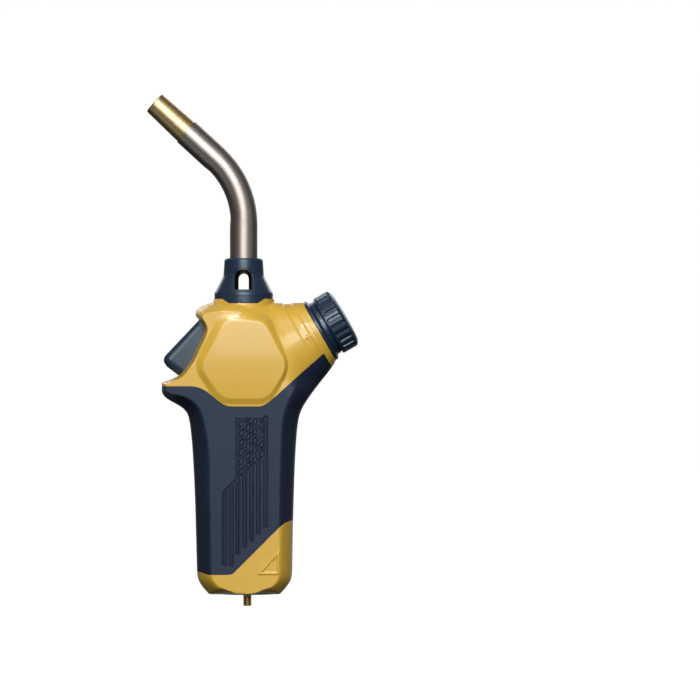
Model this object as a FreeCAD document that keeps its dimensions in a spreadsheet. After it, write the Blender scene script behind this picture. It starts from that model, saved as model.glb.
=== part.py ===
import FreeCAD, Part
import math
import os
import Sketcher
from FreeCAD import Placement, Rotation, Vector

# Hand-held trigger-start propane torch, in millimetres.
# Frame: origin on the gas inlet axis at the underside of the handle, +Z up along
# the inlet axis, -X towards the flame tip and trigger, +X towards the flow knob,
# and the mould parting plane at Y = 0. Left is -Y and right is +Y.

doc = FreeCAD.newDocument("propane_torch")
sheet = doc.addObject("Spreadsheet::Sheet", "Dims")
aliases = []


class Dim:
    """A number that remembers the spreadsheet expression it came from."""

    def __init__(self, value, text):
        self.value = float(value)
        self.text = text

    def _join(self, other, sign, value, flip=False):
        first, second = self.text, other.text if isinstance(other, Dim) else "%.6g" % other
        if flip:
            first, second = second, first
        return Dim(value, "(%s %s %s)" % (first, sign, second))

    def __add__(self, other):
        return self._join(other, "+", self.value + num(other))

    def __radd__(self, other):
        return self._join(other, "+", num(other) + self.value, True)

    def __sub__(self, other):
        return self._join(other, "-", self.value - num(other))

    def __rsub__(self, other):
        return self._join(other, "-", num(other) - self.value, True)

    def __mul__(self, other):
        return self._join(other, "*", self.value * num(other))

    def __truediv__(self, other):
        return self._join(other, "/", self.value / num(other))

    def __neg__(self):
        return Dim(-self.value, "(0 - %s)" % self.text)


def num(value):
    return value.value if isinstance(value, Dim) else float(value)


def cell(alias, value):
    """Writes one driving dimension to the sheet and returns it."""
    aliases.append(alias)
    row = len(aliases)
    sheet.set("A%d" % row, alias)
    sheet.set("B%d" % row, "%.6g" % value)
    sheet.setAlias("B%d" % row, alias)
    return Dim(value, "Dims." + alias)


def cell_points(prefix, points):
    """Writes a table of X, Z points to the sheet. Zeros and existing
    dimensions are passed through as they are."""
    digits = len(str(len(points)))
    result = []
    for i, point in enumerate(points):
        result.append(tuple(
            value if isinstance(value, Dim) or value == 0
            else cell("%s_%s_%0*d" % (prefix, axis, digits, i), value)
            for value, axis in zip(point, "xz")))
    return result


# ---------------------------------------------------------------- dimensions
burner_x = cell("burner_axis_x", -1.6)          # burn tube and valve axis
knob_x = cell("knob_face_x", 31.4)              # neck face centre
knob_z = cell("knob_face_z", 114.5)
knob_tilt = cell("knob_tilt_deg", 30.0)         # knob axis above horizontal
pivot_x = cell("trigger_pivot_x", -17.5)
pivot_z = cell("trigger_pivot_z", 117.5)
mid_y = cell("skin_mid_y", 9.0)                 # where the side chamfers start
flat_y = cell("skin_flat_y", 18.0)              # flat side panels
grip_wall = cell("grip_thickness", 1.5)
pad_y = cell("pad_face_y", 20.0)
neck_r = cell("neck_radius", 14.4)
seat_r = cell("seat_radius", 13.0)
seat_top = cell("seat_top_z", 128.6)
floor_z = cell("floor_top_z", 9.5)

thread_r = cell("inlet_minor_r", 12.1)          # minor radius of the 1in-20 UNEF thread
fitting_r = cell("inlet_outer_r", 13.6)
fitting_flange_r = cell("inlet_flange_r", 15.0)
thread_len = cell("inlet_thread_len", 11.0)
inlet_pin_r = cell("inlet_pin_r", 1.85)
inlet_pin_low = cell("inlet_pin_low_z", -5.2)
shank_r = cell("inlet_shank_r", 3.0)

reg_r = cell("regulator_r", 10.0)
reg_flange_r = cell("regulator_flange_r", 11.4)
reg_low = cell("regulator_base_z", 15.5)
reg_split = cell("regulator_split_z", 31.0)
diaphragm_t = cell("diaphragm_t", 0.8)
bonnet_top = cell("bonnet_top_z", 49.0)
port_z = cell("regulator_port_z", 26.0)
port_x = cell("regulator_port_x", 9.2)          # distance to the -X side
gas_tube_r = cell("gas_tube_r", 2.0)

valve_r = cell("valve_body_r", 5.0)
valve_low = cell("valve_body_low_z", 84.0)
valve_top = cell("valve_body_top_z", 121.0)
shut_x = cell("shutoff_face_x", 10.8)           # distance to the -X side
shut_z = cell("shutoff_axis_z", 101.0)
plunger_x = cell("plunger_nose_x", 17.2)        # distance to the -X side
piezo_z = cell("piezo_axis_z", 95.0)
piezo_y = cell("piezo_axis_y", 10.0)
piezo_r = cell("piezo_r", 4.3)
wire_x = cell("wire_x", 1.6)
wire_r = cell("wire_r", 0.9)
WIRE_LOW = 98.4                                 # Z where the wire enters the piezo body

tube_r = cell("tube_outer_r", 6.0)
tube_wall = cell("tube_wall_t", 0.7)
tube_low = cell("tube_low_z", 140.2)
bend_r = cell("tube_bend_r", 38.0)
bend_z = cell("tube_corner_z", 178.6)           # where the two centre lines cross
bend_deg = cell("tube_bend_deg", 47.5)
tip_len = cell("flame_tip_len", 18.9)
corner_to_joint = cell("corner_to_joint", 33.9)
tube_bore_r = tube_r - tube_wall

knob_r = cell("knob_outer_r", 13.5)
knob_low = cell("knob_skirt_start", 4.2)        # distances along the knob axis
knob_top = cell("knob_face_end", 13.5)
flute_top = cell("flute_top", 12.3)
flute_len = cell("flute_len", 6.6)
stem_r = cell("flow_stem_r", 2.0)
stem_bore_r = stem_r + 0.06

trigger_pin_r = cell("trigger_pin_r", 1.5)
trigger_half = cell("trigger_half_w", 8.0)
slot_half = cell("trigger_slot_half_w", 8.3)

screw_r = cell("screw_shank_r", 1.5)
screw_head_r = cell("screw_head_r", 2.6)
boss_r = cell("screw_boss_r", 2.6)
head_boss_r = cell("screw_head_boss_r", 4.0)
screw_seat_y = cell("screw_seat_y", 10.9)
screw_head_t = cell("screw_head_t", 1.6)
screw_end = cell("screw_end_y", 8.0)            # shank reach to the -Y side

TILT = math.radians(knob_tilt.value)
KNOB_AXIS = Vector(math.cos(TILT), 0, math.sin(TILT))
KNOB_CENTRE = Vector(knob_x.value, 0, knob_z.value)

# Rotations that turn an object's own Z axis to the named direction.
UPRIGHT = Rotation()
TO_X = Rotation(Vector(0, 1, 0), 90)
TO_Y = Rotation(Vector(1, 0, 0), -90)
TO_KNOB = Rotation(Vector(0, 1, 0), 90 - knob_tilt.value)
# Turns a sketch into the XZ plane; its normal then points to -Y.
SKETCH_XZ = Rotation(Vector(1, 0, 0), 90)


# ------------------------------------------------------ binding and placement
def label(obj, name):
    obj.Label = name
    return obj


def bind(obj, prop, value):
    """Sets a property, through the sheet when the value comes from it."""
    setattr(obj, prop, num(value))
    if isinstance(value, Dim):
        obj.setExpression(prop, value.text)


def place(obj, base, rotation=UPRIGHT):
    """Places an object, binding each coordinate that comes from the sheet."""
    obj.Placement = Placement(Vector(*[num(value) for value in base]), rotation)
    for value, axis in zip(base, "xyz"):
        if isinstance(value, Dim):
            obj.setExpression("Placement.Base." + axis, value.text)
    return obj


def on_burner(obj):
    return place(obj, (burner_x, 0, 0))


def on_knob(obj):
    """Puts a body whose own Z axis is its working axis on the knob axis."""
    place(obj, (knob_x, 0, knob_z), TO_KNOB)
    obj.setExpression("Placement.Rotation.Angle", (90 - knob_tilt).text)
    return obj


def along_knob(distance):
    """Point on the knob axis, measured outwards from the neck face."""
    return KNOB_CENTRE + KNOB_AXIS * distance


# ------------------------------------------------------------------- sketches
def constrain(sketch, name, kind, *refs, value):
    """Adds a dimension, named and bound when its value comes from the sheet."""
    index = sketch.addConstraint(Sketcher.Constraint(kind, *refs, num(value)))
    if isinstance(value, Dim):
        sketch.renameConstraint(index, name)
        sketch.setExpression("Constraints." + name, value.text)


def fill_polygon(sketch, points):
    """Closed polygon whose every corner is dimensioned from the sketch origin."""
    corners = [Vector(num(x), num(y), 0) for x, y in points]
    count = len(points)
    for i in range(count):
        sketch.addGeometry(Part.LineSegment(corners[i], corners[(i + 1) % count]), False)
    for i in range(count):
        sketch.addConstraint(Sketcher.Constraint("Coincident", i, 2, (i + 1) % count, 1))
    for i, (x, y) in enumerate(points):
        for kind, value, axis, prefix in (("DistanceX", x, -2, "x"), ("DistanceY", y, -1, "y")):
            if abs(num(value)) < 1e-9:
                sketch.addConstraint(Sketcher.Constraint("PointOnObject", i, 1, axis))
            else:
                constrain(sketch, "%s_%d" % (prefix, i), kind, -1, 1, i, 1, value=value)


def xz_sketch(name, y=0.0):
    sketch = doc.addObject("Sketcher::SketchObject", name)
    return place(sketch, (0, y, 0), SKETCH_XZ)


def body(name):
    return label(doc.addObject("PartDesign::Body", name + "_body"), name)


def body_sketch(owner, name, role, height=None):
    """Sketch on one of a body's origin planes, raised along the plane normal."""
    sketch = owner.newObject("Sketcher::SketchObject", name)
    plane = next(o for o in owner.Origin.OriginFeatures if o.Role == role)
    sketch.AttachmentSupport = [(plane, "")]
    sketch.MapMode = "FlatFace"
    if height is not None:
        sketch.AttachmentOffset = Placement(Vector(0, 0, num(height)), Rotation())
        if isinstance(height, Dim):
            sketch.setExpression("AttachmentOffset.Base.z", height.text)
    return sketch


# --------------------------------------------------------------------- solids
def turned(name, profile):
    """A body of revolution. profile is (radius, height) corners in the XZ plane,
    revolved about the body's own Z axis."""
    owner = body(name)
    sketch = body_sketch(owner, name + "_profile", "XZ_Plane")
    fill_polygon(sketch, profile)
    revolution = owner.newObject("PartDesign::Revolution", name + "_revolution")
    revolution.Profile = sketch
    revolution.ReferenceAxis = (sketch, ["V_Axis"])
    revolution.Angle = 360.0
    sketch.Visibility = False
    return owner


def polar_pocket(owner, sketch, length, count, pocket_name, pattern_name):
    """Cuts a sketch into a body and repeats it around the body's Z axis."""
    pocket = owner.newObject("PartDesign::Pocket", pocket_name)
    pocket.Profile = sketch
    bind(pocket, "Length", length)
    sketch.Visibility = False
    pattern = owner.newObject("PartDesign::PolarPattern", pattern_name)
    pattern.Originals = [pocket]
    pattern.Axis = (sketch, ["N_Axis"])
    pattern.Angle = 360.0
    pattern.Occurrences = count
    owner.Tip = pattern


def prism(name, points, y0, y1):
    """A Part extrusion of an XZ polygon between two Y values."""
    sketch = xz_sketch(name + "_sketch", y1)
    fill_polygon(sketch, points)
    extrusion = doc.addObject("Part::Extrusion", name)
    extrusion.Base = sketch
    extrusion.DirMode = "Normal"
    extrusion.Solid = True
    bind(extrusion, "LengthFwd", y1 - y0)
    return extrusion


def half_loft(name, sections):
    """Ruled solid through XZ polygons at rising Y, for one moulded half."""
    sketches = []
    for i, (points, y) in enumerate(sections):
        sketch = xz_sketch("%s_section_%d" % (name, i), y)
        fill_polygon(sketch, points)
        sketches.append(sketch)
    loft = doc.addObject("Part::Loft", name)
    loft.Sections = sketches
    loft.Solid = True
    loft.Ruled = True
    return loft


def cylinder(name, radius, height, base, rotation=UPRIGHT, angle=360.0):
    rod = doc.addObject("Part::Cylinder", name)
    bind(rod, "Radius", radius)
    bind(rod, "Height", height)
    rod.Angle = angle
    return place(rod, base, rotation)


def knob_cylinder(name, radius, length, start, angle=360.0):
    """Cylinder on the knob axis, from start outwards."""
    return cylinder(name, radius, length, along_knob(start), TO_KNOB, angle)


def box(name, low, high):
    block = doc.addObject("Part::Box", name)
    for prop, start, end in zip(("Length", "Width", "Height"), low, high):
        bind(block, prop, end - start)
    return place(block, low)


def fuse(name, *shapes):
    result = doc.addObject("Part::MultiFuse", name)
    result.Shapes = list(shapes)
    result.Refine = True
    return result


def cut(name, base, *tools):
    tool = tools[0] if len(tools) == 1 else fuse(name + "_tools", *tools)
    result = doc.addObject("Part::Cut", name)
    result.Base, result.Tool = base, tool
    result.Refine = True
    return result


def common(name, first, second):
    result = doc.addObject("Part::MultiCommon", name)
    result.Shapes = [first, second]
    result.Refine = True
    return result


def mirror_y(name, source):
    mirror = doc.addObject("Part::Mirroring", name)
    mirror.Source = source
    mirror.Base = Vector(0, 0, 0)
    mirror.Normal = Vector(0, 1, 0)
    return mirror


def hex_nut(name, blank, circumradius, height, base, rotation=UPRIGHT):
    """Trims a round blank to six flats."""
    flats = doc.addObject("Part::Prism", name + "_hex")
    flats.Polygon = 6
    bind(flats, "Circumradius", circumradius)
    flats.Height = height
    place(flats, base, rotation)
    label(blank, name + "_round")
    return label(common(name + "_common", blank, flats), name)


def coil(name, mean_r, wire_r, length, turns, base, rotation=UPRIGHT):
    """Helical spring whose axis is its own Z, from 0 to length."""
    end_gap = 0.02
    rise = length - wire_r * 2.0 - end_gap * 2
    start_z = num(wire_r) + end_gap
    helix = doc.addObject("Part::Helix", name + "_helix")
    bind(helix, "Radius", mean_r)
    bind(helix, "Height", rise)
    bind(helix, "Pitch", rise / turns)
    helix.Placement = Placement(Vector(0, 0, start_z), Rotation())
    wire = doc.addObject("Part::Circle", name + "_wire")
    bind(wire, "Radius", wire_r)
    wire.Placement = Placement(Vector(num(mean_r), 0, start_z), SKETCH_XZ)
    sweep = doc.addObject("Part::Sweep", name)
    sweep.Sections = [wire]
    sweep.Spine = (helix, ["Edge1"])
    sweep.Solid = True
    sweep.Frenet = True
    return label(place(sweep, base, rotation), name)


def tube_path(name, points, radii, placement):
    """Open path of straight runs joined by true bends, as a sweep spine."""
    sketch = doc.addObject("Sketcher::SketchObject", name)
    sketch.Placement = placement
    corners = [Vector(num(x), num(y), 0) for x, y in points]
    start = corners[0]
    geometry = []
    for before, corner, after, radius in zip(corners, corners[1:], corners[2:], radii):
        dir_in = (corner - before).normalize()
        dir_out = (after - corner).normalize()
        turn = math.acos(max(-1, min(1, dir_in.dot(dir_out))))
        setback = radius * math.tan(turn / 2)
        arc_start = corner - dir_in * setback
        arc_end = corner + dir_out * setback
        side = 1.0 if dir_in.x * dir_out.y - dir_in.y * dir_out.x > 0 else -1.0
        centre = arc_start + Vector(-dir_in.y, dir_in.x, 0) * (radius * side)
        chord_mid = (arc_start + arc_end) * 0.5
        arc_mid = centre + (chord_mid - centre).normalize() * radius
        geometry.append(Part.LineSegment(start, arc_start))
        geometry.append(Part.Arc(arc_start, arc_mid, arc_end))
        start = arc_end
    geometry.append(Part.LineSegment(start, corners[-1]))
    for piece in geometry:
        sketch.addGeometry(piece, False)
    sketch.addConstraint([Sketcher.Constraint("Block", i) for i in range(0, len(geometry), 2)])
    return sketch, ["Edge%d" % (i + 1) for i in range(len(geometry))]


def pipe(name, spine, radius, start, rotation=UPRIGHT):
    circle = doc.addObject("Part::Circle", name + "_circle")
    bind(circle, "Radius", radius)
    place(circle, start, rotation)
    sweep = doc.addObject("Part::Sweep", name)
    sweep.Sections = [circle]
    sweep.Spine = spine
    sweep.Solid = True
    sweep.Frenet = False
    return sweep


def inset(points, distance):
    """Mitred inward offset of a clockwise (X right, Z up) polygon."""
    result, count = [], len(points)
    corners = [Vector(num(x), num(z), 0) for x, z in points]
    for i, (x, z) in enumerate(points):
        dir_in = (corners[i] - corners[i - 1]).normalize()
        dir_out = (corners[(i + 1) % count] - corners[i]).normalize()
        normal = Vector(dir_in.y, -dir_in.x, 0)
        mitre = normal + Vector(dir_out.y, -dir_out.x, 0)
        mitre = mitre * (1.0 / max(0.35, mitre.dot(normal)))
        result.append((x + distance * round(mitre.x, 5), z + distance * round(mitre.y, 5)))
    return result


# ------------------------------------------------- moulded body, the +Y half
# Columns: X, Z of the outline at the parting plane, then X, Z of the matching
# corner of the flat side panel.
SKIN = [
    (-17.0, 0.0, -10.0, 0.0), (-21.6, 7.0, -15.9, 8.0), (-22.15, 20.0, -16.1, 20.0),
    (-22.7, 40.0, -16.6, 40.0), (-23.65, 60.0, -17.6, 60.0), (-24.9, 74.0, -18.9, 73.5),
    (-26.6, 79.4, -20.8, 79.5), (-30.9, 82.9, -24.5, 84.0), (-36.3, 86.3, -31.5, 87.3),
    (-37.15, 88.0, -35.0, 88.5), (-37.15, 91.5, -35.0, 91.0), (-34.2, 93.3, -32.5, 92.2),
    (-30.2, 95.0, -28.4, 94.0), (-27.0, 98.5, -25.0, 97.5), (-23.9, 103.7, -21.9, 103.0),
    (-20.4, 110.7, -18.2, 110.2), (-19.0, 115.0, -16.6, 114.8), (-20.9, 119.4, -17.0, 117.6),
    (-22.5, 122.0, -17.8, 119.2), (-20.5, 125.3, -16.5, 121.6), (-14.6, 127.2, -12.0, 122.9),
    (11.4, 127.2, 9.0, 122.9), (24.2, 127.0, 15.5, 119.5), (38.6, 102.0, 24.5, 104.0),
    (37.0, 98.6, 23.5, 99.0), (31.2, 91.6, 21.0, 92.0), (26.0, 84.6, 17.8, 84.6),
    (22.6, 77.6, 15.9, 77.6), (21.3, 67.0, 14.9, 67.0), (20.4, 50.0, 14.3, 50.0),
    (19.7, 20.0, 14.0, 20.0), (19.5, 7.3, 13.5, 8.0), (14.5, 0.0, 8.5, 0.0),
]
outline = cell_points("skin", [row[:2] for row in SKIN])
panel = cell_points("panel", [row[2:] for row in SKIN])
# At mid depth each corner has moved a tenth of the way to the side panel.
DRAFT = 0.1
middle = [tuple(a * (1 - DRAFT) + b * DRAFT for a, b in zip(rim, flat))
          for rim, flat in zip(outline, panel)]
# The neck is round, so the section at mid depth follows its circle.
middle[22] = (cell("neck_mid_x_top", 25.6), cell("neck_mid_z_top", 124.0))
middle[23] = (cell("neck_mid_x_low", 36.8), cell("neck_mid_z_low", 104.9))
skin = half_loft("skin_half", [(outline, 0.0), (middle, mid_y), (panel, flat_y)])

# Raised side pad. Columns: X, Z at its base, then X, Z at its face.
PAD = [(-11.7, 122.9, -8.9, 118.3), (-23.9, 99.0, -19.6, 98.4), (-12.9, 82.6, -10.4, 85.9),
       (9.7, 82.6, 8.5, 85.9), (18.8, 98.4, 17.0, 99.1), (9.1, 122.9, 6.6, 118.3)]
pad_base = cell_points("pad", [row[:2] for row in PAD])
pad_face = cell_points("pad_top", [row[2:] for row in PAD])
pad = half_loft("pad_half", [(pad_base, flat_y - 0.4), (pad_face, pad_y)])

NECK_LEN = 22.0
SEAT_LOW = 112.0
neck = knob_cylinder("neck_half", neck_r, NECK_LEN, -NECK_LEN, 180.0)
seat = cylinder("seat_half", seat_r, seat_top - SEAT_LOW, (burner_x, 0, SEAT_LOW), angle=180.0)
outer = fuse("outer_half", skin, pad, neck, seat)

# Inner limit of the soft grip layer.
core = half_loft("core_half", [
    (inset(outline, grip_wall), 0.0), (inset(middle, grip_wall), mid_y - 0.9),
    (inset(panel, grip_wall * 0.5), flat_y - grip_wall)])

# Hollow inside. Columns: X, Z of the full outline, then X, Z at the deepest plane.
CAVITY = [
    (-18.6, floor_z, -14.6, floor_z), (-19.1, 30.0, -15.0, 30.0), (-19.8, 50.0, -15.8, 50.0),
    (-21.0, 68.0, -17.0, 68.0), (-21.9, 77.0, -17.9, 77.0), (-24.6, 82.6, -19.0, 83.0),
    (-29.5, 86.6, -20.5, 87.5), (-29.5, 91.0, -21.5, 90.5), (-24.0, 97.5, -19.5, 97.5),
    (-20.6, 105.0, -16.5, 105.0), (-17.2, 111.5, -14.0, 111.5), (-15.9, 115.5, -13.2, 115.0),
    (-17.6, 121.0, -13.0, 118.5), (-14.0, 124.2, -11.0, 120.0), (19.5, 124.2, 11.0, 119.0),
    (33.3, 99.6, 20.0, 99.0), (28.6, 93.2, 17.0, 92.0), (23.4, 86.2, 14.2, 85.5),
    (19.6, 78.4, 12.6, 78.4), (18.2, 67.0, 11.8, 67.0), (17.3, 50.0, 11.2, 50.0),
    (16.6, 20.0, 10.8, 20.0), (16.3, floor_z, 10.6, floor_z),
]
cavity_rim = cell_points("cavity", [row[:2] for row in CAVITY])
cavity_deep = cell_points("cavity_deep", [row[2:] for row in CAVITY])
cavity = half_loft("cavity_half", [
    (cavity_rim, 0.0), (cavity_rim, 7.6), (cavity_deep, flat_y - grip_wall - 2.0)])

# Region covered by the soft grip, as X, Z corners of a prism through the body.
GRIP = [
    (-60.0, 90.1), (-20.0, 90.0), (-17.4, 88.3), (-13.5, 84.8), (-10.2, 82.3), (-8.4, 81.8),
    (6.0, 81.8), (8.3, 82.8), (12.6, 86.3), (22.2, 95.1), (33.7, 105.0), (36.8, 99.5),
    (60.0, 97.0), (60.0, 32.2), (20.0, 32.0), (17.0, 31.3), (14.6, 29.8), (-7.4, 8.1),
    (-14.7, 8.1), (-24.0, 9.1), (-60.0, 9.1),
]
grip_zone = prism("grip_zone", cell_points("grip", GRIP), -1.0, 30.0)
grip_layer = cut("grip_layer", outer, core)
grip_solid = common("grip_half", grip_layer, grip_zone)
shell_solid = cut("shell_half_solid", outer, grip_solid)

# --------------------------------------------- screws, their bosses and holes
# Screw positions, X and Z; the heads sit in the +Y half.
SCREWS = [(-15.6, 20.0), (14.0, 20.0), (4.0, 57.0), (9.0, 118.0), (20.0, 89.0)]
CROSS_LEN = 1.5         # half length of each arm of the drive cross
CROSS_W = 0.35          # half width
counter_r = screw_head_r + 0.1
cross_low = screw_seat_y + screw_head_t - 0.8
cross_high = screw_seat_y + screw_head_t + 1.0


def y_rod(name, radius, length, x, y, z):
    """Cylinder along +Y from the given point."""
    return cylinder(name, radius, length, (x, y, z), TO_Y)


def cross_arm(name, x, z, half_x, half_z):
    return box(name, (x - half_x, cross_low, z - half_z), (x + half_x, cross_high, z + half_z))


def screw(i, x, z):
    shank = y_rod("screw_shank_%d" % i, screw_r, screw_seat_y + screw_end, x, -screw_end, z)
    head = y_rod("screw_head_%d" % i, screw_head_r, screw_head_t, x, screw_seat_y, z)
    arm_x = cross_arm("screw_cross_%d" % i, x, z, CROSS_LEN, CROSS_W)
    arm_z = cross_arm("screw_cross_b_%d" % i, x, z, CROSS_W, CROSS_LEN)
    return cut("screw_%d" % i, fuse("screw_blank_%d" % i, shank, head), arm_x, arm_z)


bosses, right_holes, left_holes, grip_holes, screws = [], [], [], [], []
for i, (x, z) in enumerate(cell_points("screw", SCREWS)):
    bosses += [y_rod("boss_%d" % i, boss_r, 13.0, x, 0.0, z),
               y_rod("boss_big_%d" % i, head_boss_r, 6.0, x, 9.2, z)]
    right_holes += [y_rod("clear_%d" % i, screw_r + 0.05, 24.0, x, -1.0, z),
                    y_rod("counter_%d" % i, counter_r, 14.0, x, screw_seat_y, z)]
    left_holes.append(y_rod("bite_%d" % i, screw_r, screw_end + 0.2, x, -screw_end - 0.2, z))
    grip_holes.append(y_rod("grip_counter_%d" % i, counter_r, 14.0, x, screw_seat_y, z))
    screws.append(screw(i, x, z))
screw_set = doc.addObject("Part::Compound", "screw_set")
screw_set.Links = screws
label(screw_set, "housing_screws")

# ----------------------------------------------------------- shells and grips
cavity_net = cut("cavity_less_bosses", cavity, *bosses)

# X, Z corners of the room the trigger moves in.
SLOT = [(-45.0, 119.8), (-45.0, 104.0), (-37.6, 100.7), (-34.3, 97.4), (-30.6, 94.8),
        (-26.5, 92.9), (-22.0, 91.7), (-17.5, 91.3), (-13.0, 91.7), (-10.2, 92.3),
        (-9.4, 98.0), (-13.0, 113.5), (-13.2, 119.0), (-15.0, 121.5), (-19.5, 121.5),
        (-21.6, 119.8)]
slot = prism("trigger_slot", cell_points("slot", SLOT), -1.0, slot_half)

opening = cylinder("inlet_opening", fitting_r, 12.0, (0, 0, -1.0))
flange_room = cylinder("inlet_flange_room", fitting_flange_r + 0.3, 4.0, (0, 0, floor_z))
throat = cylinder("collar_throat", 9.6, 8.0, (burner_x, 0, 122.0))
groove = cylinder("collar_groove", 11.15, 2.1, (burner_x, 0, 122.1))
neck_hole = knob_cylinder("neck_hole", 6.5, 12.0, -9.0)
face_trim = cylinder("neck_face_trim", 18.0, 8.0, (knob_x, 0, knob_z), TO_KNOB)
pin_hole = y_rod("trigger_pin_hole", trigger_pin_r, 28.0, pivot_x, -14.0, pivot_z)

# The collar tabs drop into notches in the raised seat. Both tables are X, Z.
TAB = [(-8.1, 126.0), (5.2, 126.0), (7.6, 128.9), (7.6, 132.0), (-10.6, 132.0), (-10.6, 128.9)]
NOTCH = [(-8.2, 125.9), (5.3, 125.9), (7.75, 128.9), (7.75, 134.0), (-10.75, 134.0),
         (-10.75, 128.9)]
notch = prism("collar_notch", cell_points("notch", NOTCH), 7.8, 14.6)

shell_half = cut("shell_half", shell_solid, cavity_net, slot, opening, flange_room, throat,
                 groove, neck_hole, face_trim, pin_hole, notch)
shell_mirror = mirror_y("shell_mirror", shell_half)
label(cut("shell_right", shell_half, *right_holes), "housing_right")
label(cut("shell_left", shell_mirror, *left_holes), "housing_left")

grip_net = cut("grip_net", grip_solid, opening, slot)
label(cut("grip_far", grip_net, *grip_holes), "grip_right")
label(mirror_y("grip_near", grip_net), "grip_left")

# ----------------------------------------------------------------- gas inlet
# From here on, tables passed to turned() are radius, height along the part's axis.
INLET_TOP = 14.0
turned("inlet_fitting", [
    (thread_r, 0.2), (fitting_r, 0.2), (fitting_r, floor_z), (fitting_flange_r, floor_z),
    (fitting_flange_r, 12.6), (12.4, 14.2), (6.4, 14.2), (6.4, INLET_TOP),
    (shank_r, INLET_TOP), (shank_r, thread_len), (thread_r, thread_len)])
turned("inlet_pin", [
    (0, inlet_pin_low), (inlet_pin_r - 0.5, inlet_pin_low), (inlet_pin_r, inlet_pin_low + 0.5),
    (inlet_pin_r, 5.6), (shank_r, 6.4), (shank_r, INLET_TOP), (0.9, INLET_TOP), (0.9, 7.6),
    (0, 7.6)])
turned("inlet_seal", [
    (shank_r, 8.4), (5.4, 8.4), (5.8, 8.8), (5.8, thread_len), (shank_r, thread_len)])
turned("inlet_filter", [(0, 14.2), (3.8, 14.2), (3.8, 16.2), (0, 16.2)])

# ------------------------------------------------------------------ regulator
diaphragm_top = reg_split + diaphragm_t
regulator = turned("regulator_body_blank", [
    (3.8, 14.0), (6.4, 14.0), (6.4, 14.2), (12.0, 14.2), (12.0, reg_low + 0.5),
    (reg_r, reg_low + 0.5), (reg_r, 28.0), (reg_flange_r, 28.0), (reg_flange_r, reg_split),
    (8.4, reg_split), (8.4, 24.0), (1.7, 24.0), (1.7, 20.6), (3.8, 20.6)])
label(regulator, "regulator_blank")
port = cylinder("regulator_port_bore", 1.2, 4.0, (-port_x - 0.4, 0, port_z), TO_X)
port_seat = cylinder("regulator_port_seat", gas_tube_r, 6.0, (-port_x - 6.0, 0, port_z), TO_X)
label(cut("regulator_body_cut", regulator, port, port_seat), "regulator_body")

turned("regulator_poppet", [
    (0, 17.6), (2.6, 17.6), (2.6, 19.4), (1.2, 20.55), (1.2, 30.2), (0, 30.2)])
turned("diaphragm", [
    (1.5, reg_split), (reg_flange_r, reg_split), (reg_flange_r, diaphragm_top),
    (1.5, diaphragm_top)])
turned("diaphragm_plate", [
    (0, 30.2), (1.45, 30.2), (1.45, diaphragm_top), (6.4, diaphragm_top),
    (6.4, diaphragm_top + 1.2), (3.6, diaphragm_top + 1.2), (3.6, diaphragm_top + 2.4),
    (0, diaphragm_top + 2.4)])
turned("regulator_bonnet", [
    (7.6, diaphragm_top), (reg_flange_r, diaphragm_top), (reg_flange_r, 34.6), (9.2, 34.6),
    (9.2, 46.0), (7.4, bonnet_top), (2.6, bonnet_top), (2.6, 46.6), (7.6, 46.6)])
turned("adjusting_screw", [
    (0, 43.0), (3.6, 43.0), (3.6, 44.2), (6.4, 44.2), (6.4, 45.6), (2.6, 45.6), (2.6, 50.6),
    (1.2, 50.6), (1.2, 49.2), (0, 49.2)])
coil("regulator_spring", mean_r=cell("regulator_spring_r", 4.8),
     wire_r=cell("regulator_spring_wire_r", 0.7), length=cell("regulator_spring_len", 11.2),
     turns=6, base=(0, 0, 33.0))

# ------------------------------------------------- gas tube, regulator to valve
RISER_X = -14.2
gas_start = (-port_x, 0, port_z)
gas_path = tube_path(
    "gas_tube_path",
    [(-port_x, port_z), (RISER_X, port_z), (RISER_X, 62.0), (burner_x, 74.0), (burner_x, 88.0)],
    [3.0, 7.0, 7.0], Placement(Vector(0, 0, 0), SKETCH_XZ))
gas_outside = pipe("gas_tube_out", gas_path, gas_tube_r, gas_start, TO_X)
gas_inside = pipe("gas_tube_in", gas_path, gas_tube_r - 0.7, gas_start, TO_X)
label(cut("gas_tube_cut", gas_outside, gas_inside), "gas_tube")

# ------------------------------------------------------------------ valve body
ARM_START = -38.1       # along the knob axis
valve_blank = fuse(
    "valve_blank",
    cylinder("valve_main", valve_r, valve_top - valve_low, (burner_x, 0, valve_low)),
    knob_cylinder("valve_arm", 5.0, 26.1, ARM_START),
    knob_cylinder("valve_arm_end", 5.6, 6.0, -18.0),
    cylinder("valve_boss", 5.2, shut_x + burner_x, (-shut_x, 0, shut_z), TO_X))
label(cut(
    "valve_cut", valve_blank,
    cylinder("valve_inlet_bore", 1.4, 12.0, (burner_x, 0, valve_low + 2.0)),
    cylinder("valve_inlet_seat", gas_tube_r, 6.0, (burner_x, 0, valve_low - 2.0)),
    cylinder("valve_outlet_bore", 1.4, 22.0, (burner_x, 0, shut_z)),
    cylinder("valve_jet_bore", 2.4, 10.0, (burner_x, 0, 116.0)),
    knob_cylinder("valve_seat_bore", 0.8, 6.0, ARM_START),
    knob_cylinder("valve_needle_bore", 2.45, 30.0, -35.0),
    knob_cylinder("valve_gland_bore", 4.0, 10.0, -17.0),
    cylinder("valve_plunger_bore", 2.05, shut_x + 0.6, (-shut_x - 0.5, 0, shut_z), TO_X),
    cylinder("valve_spring_bore", 3.9, 3.0, (-shut_x - 1.0, 0, shut_z), TO_X),
), "valve_body")

tube_nut = on_burner(turned("tube_nut_blank", [
    (gas_tube_r, 79.0), (4.3, 79.0), (4.3, valve_low), (gas_tube_r, valve_low)]))
hex_nut("tube_nut", tube_nut, 4.6, 10.0, (burner_x, 0, 77.0))

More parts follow.
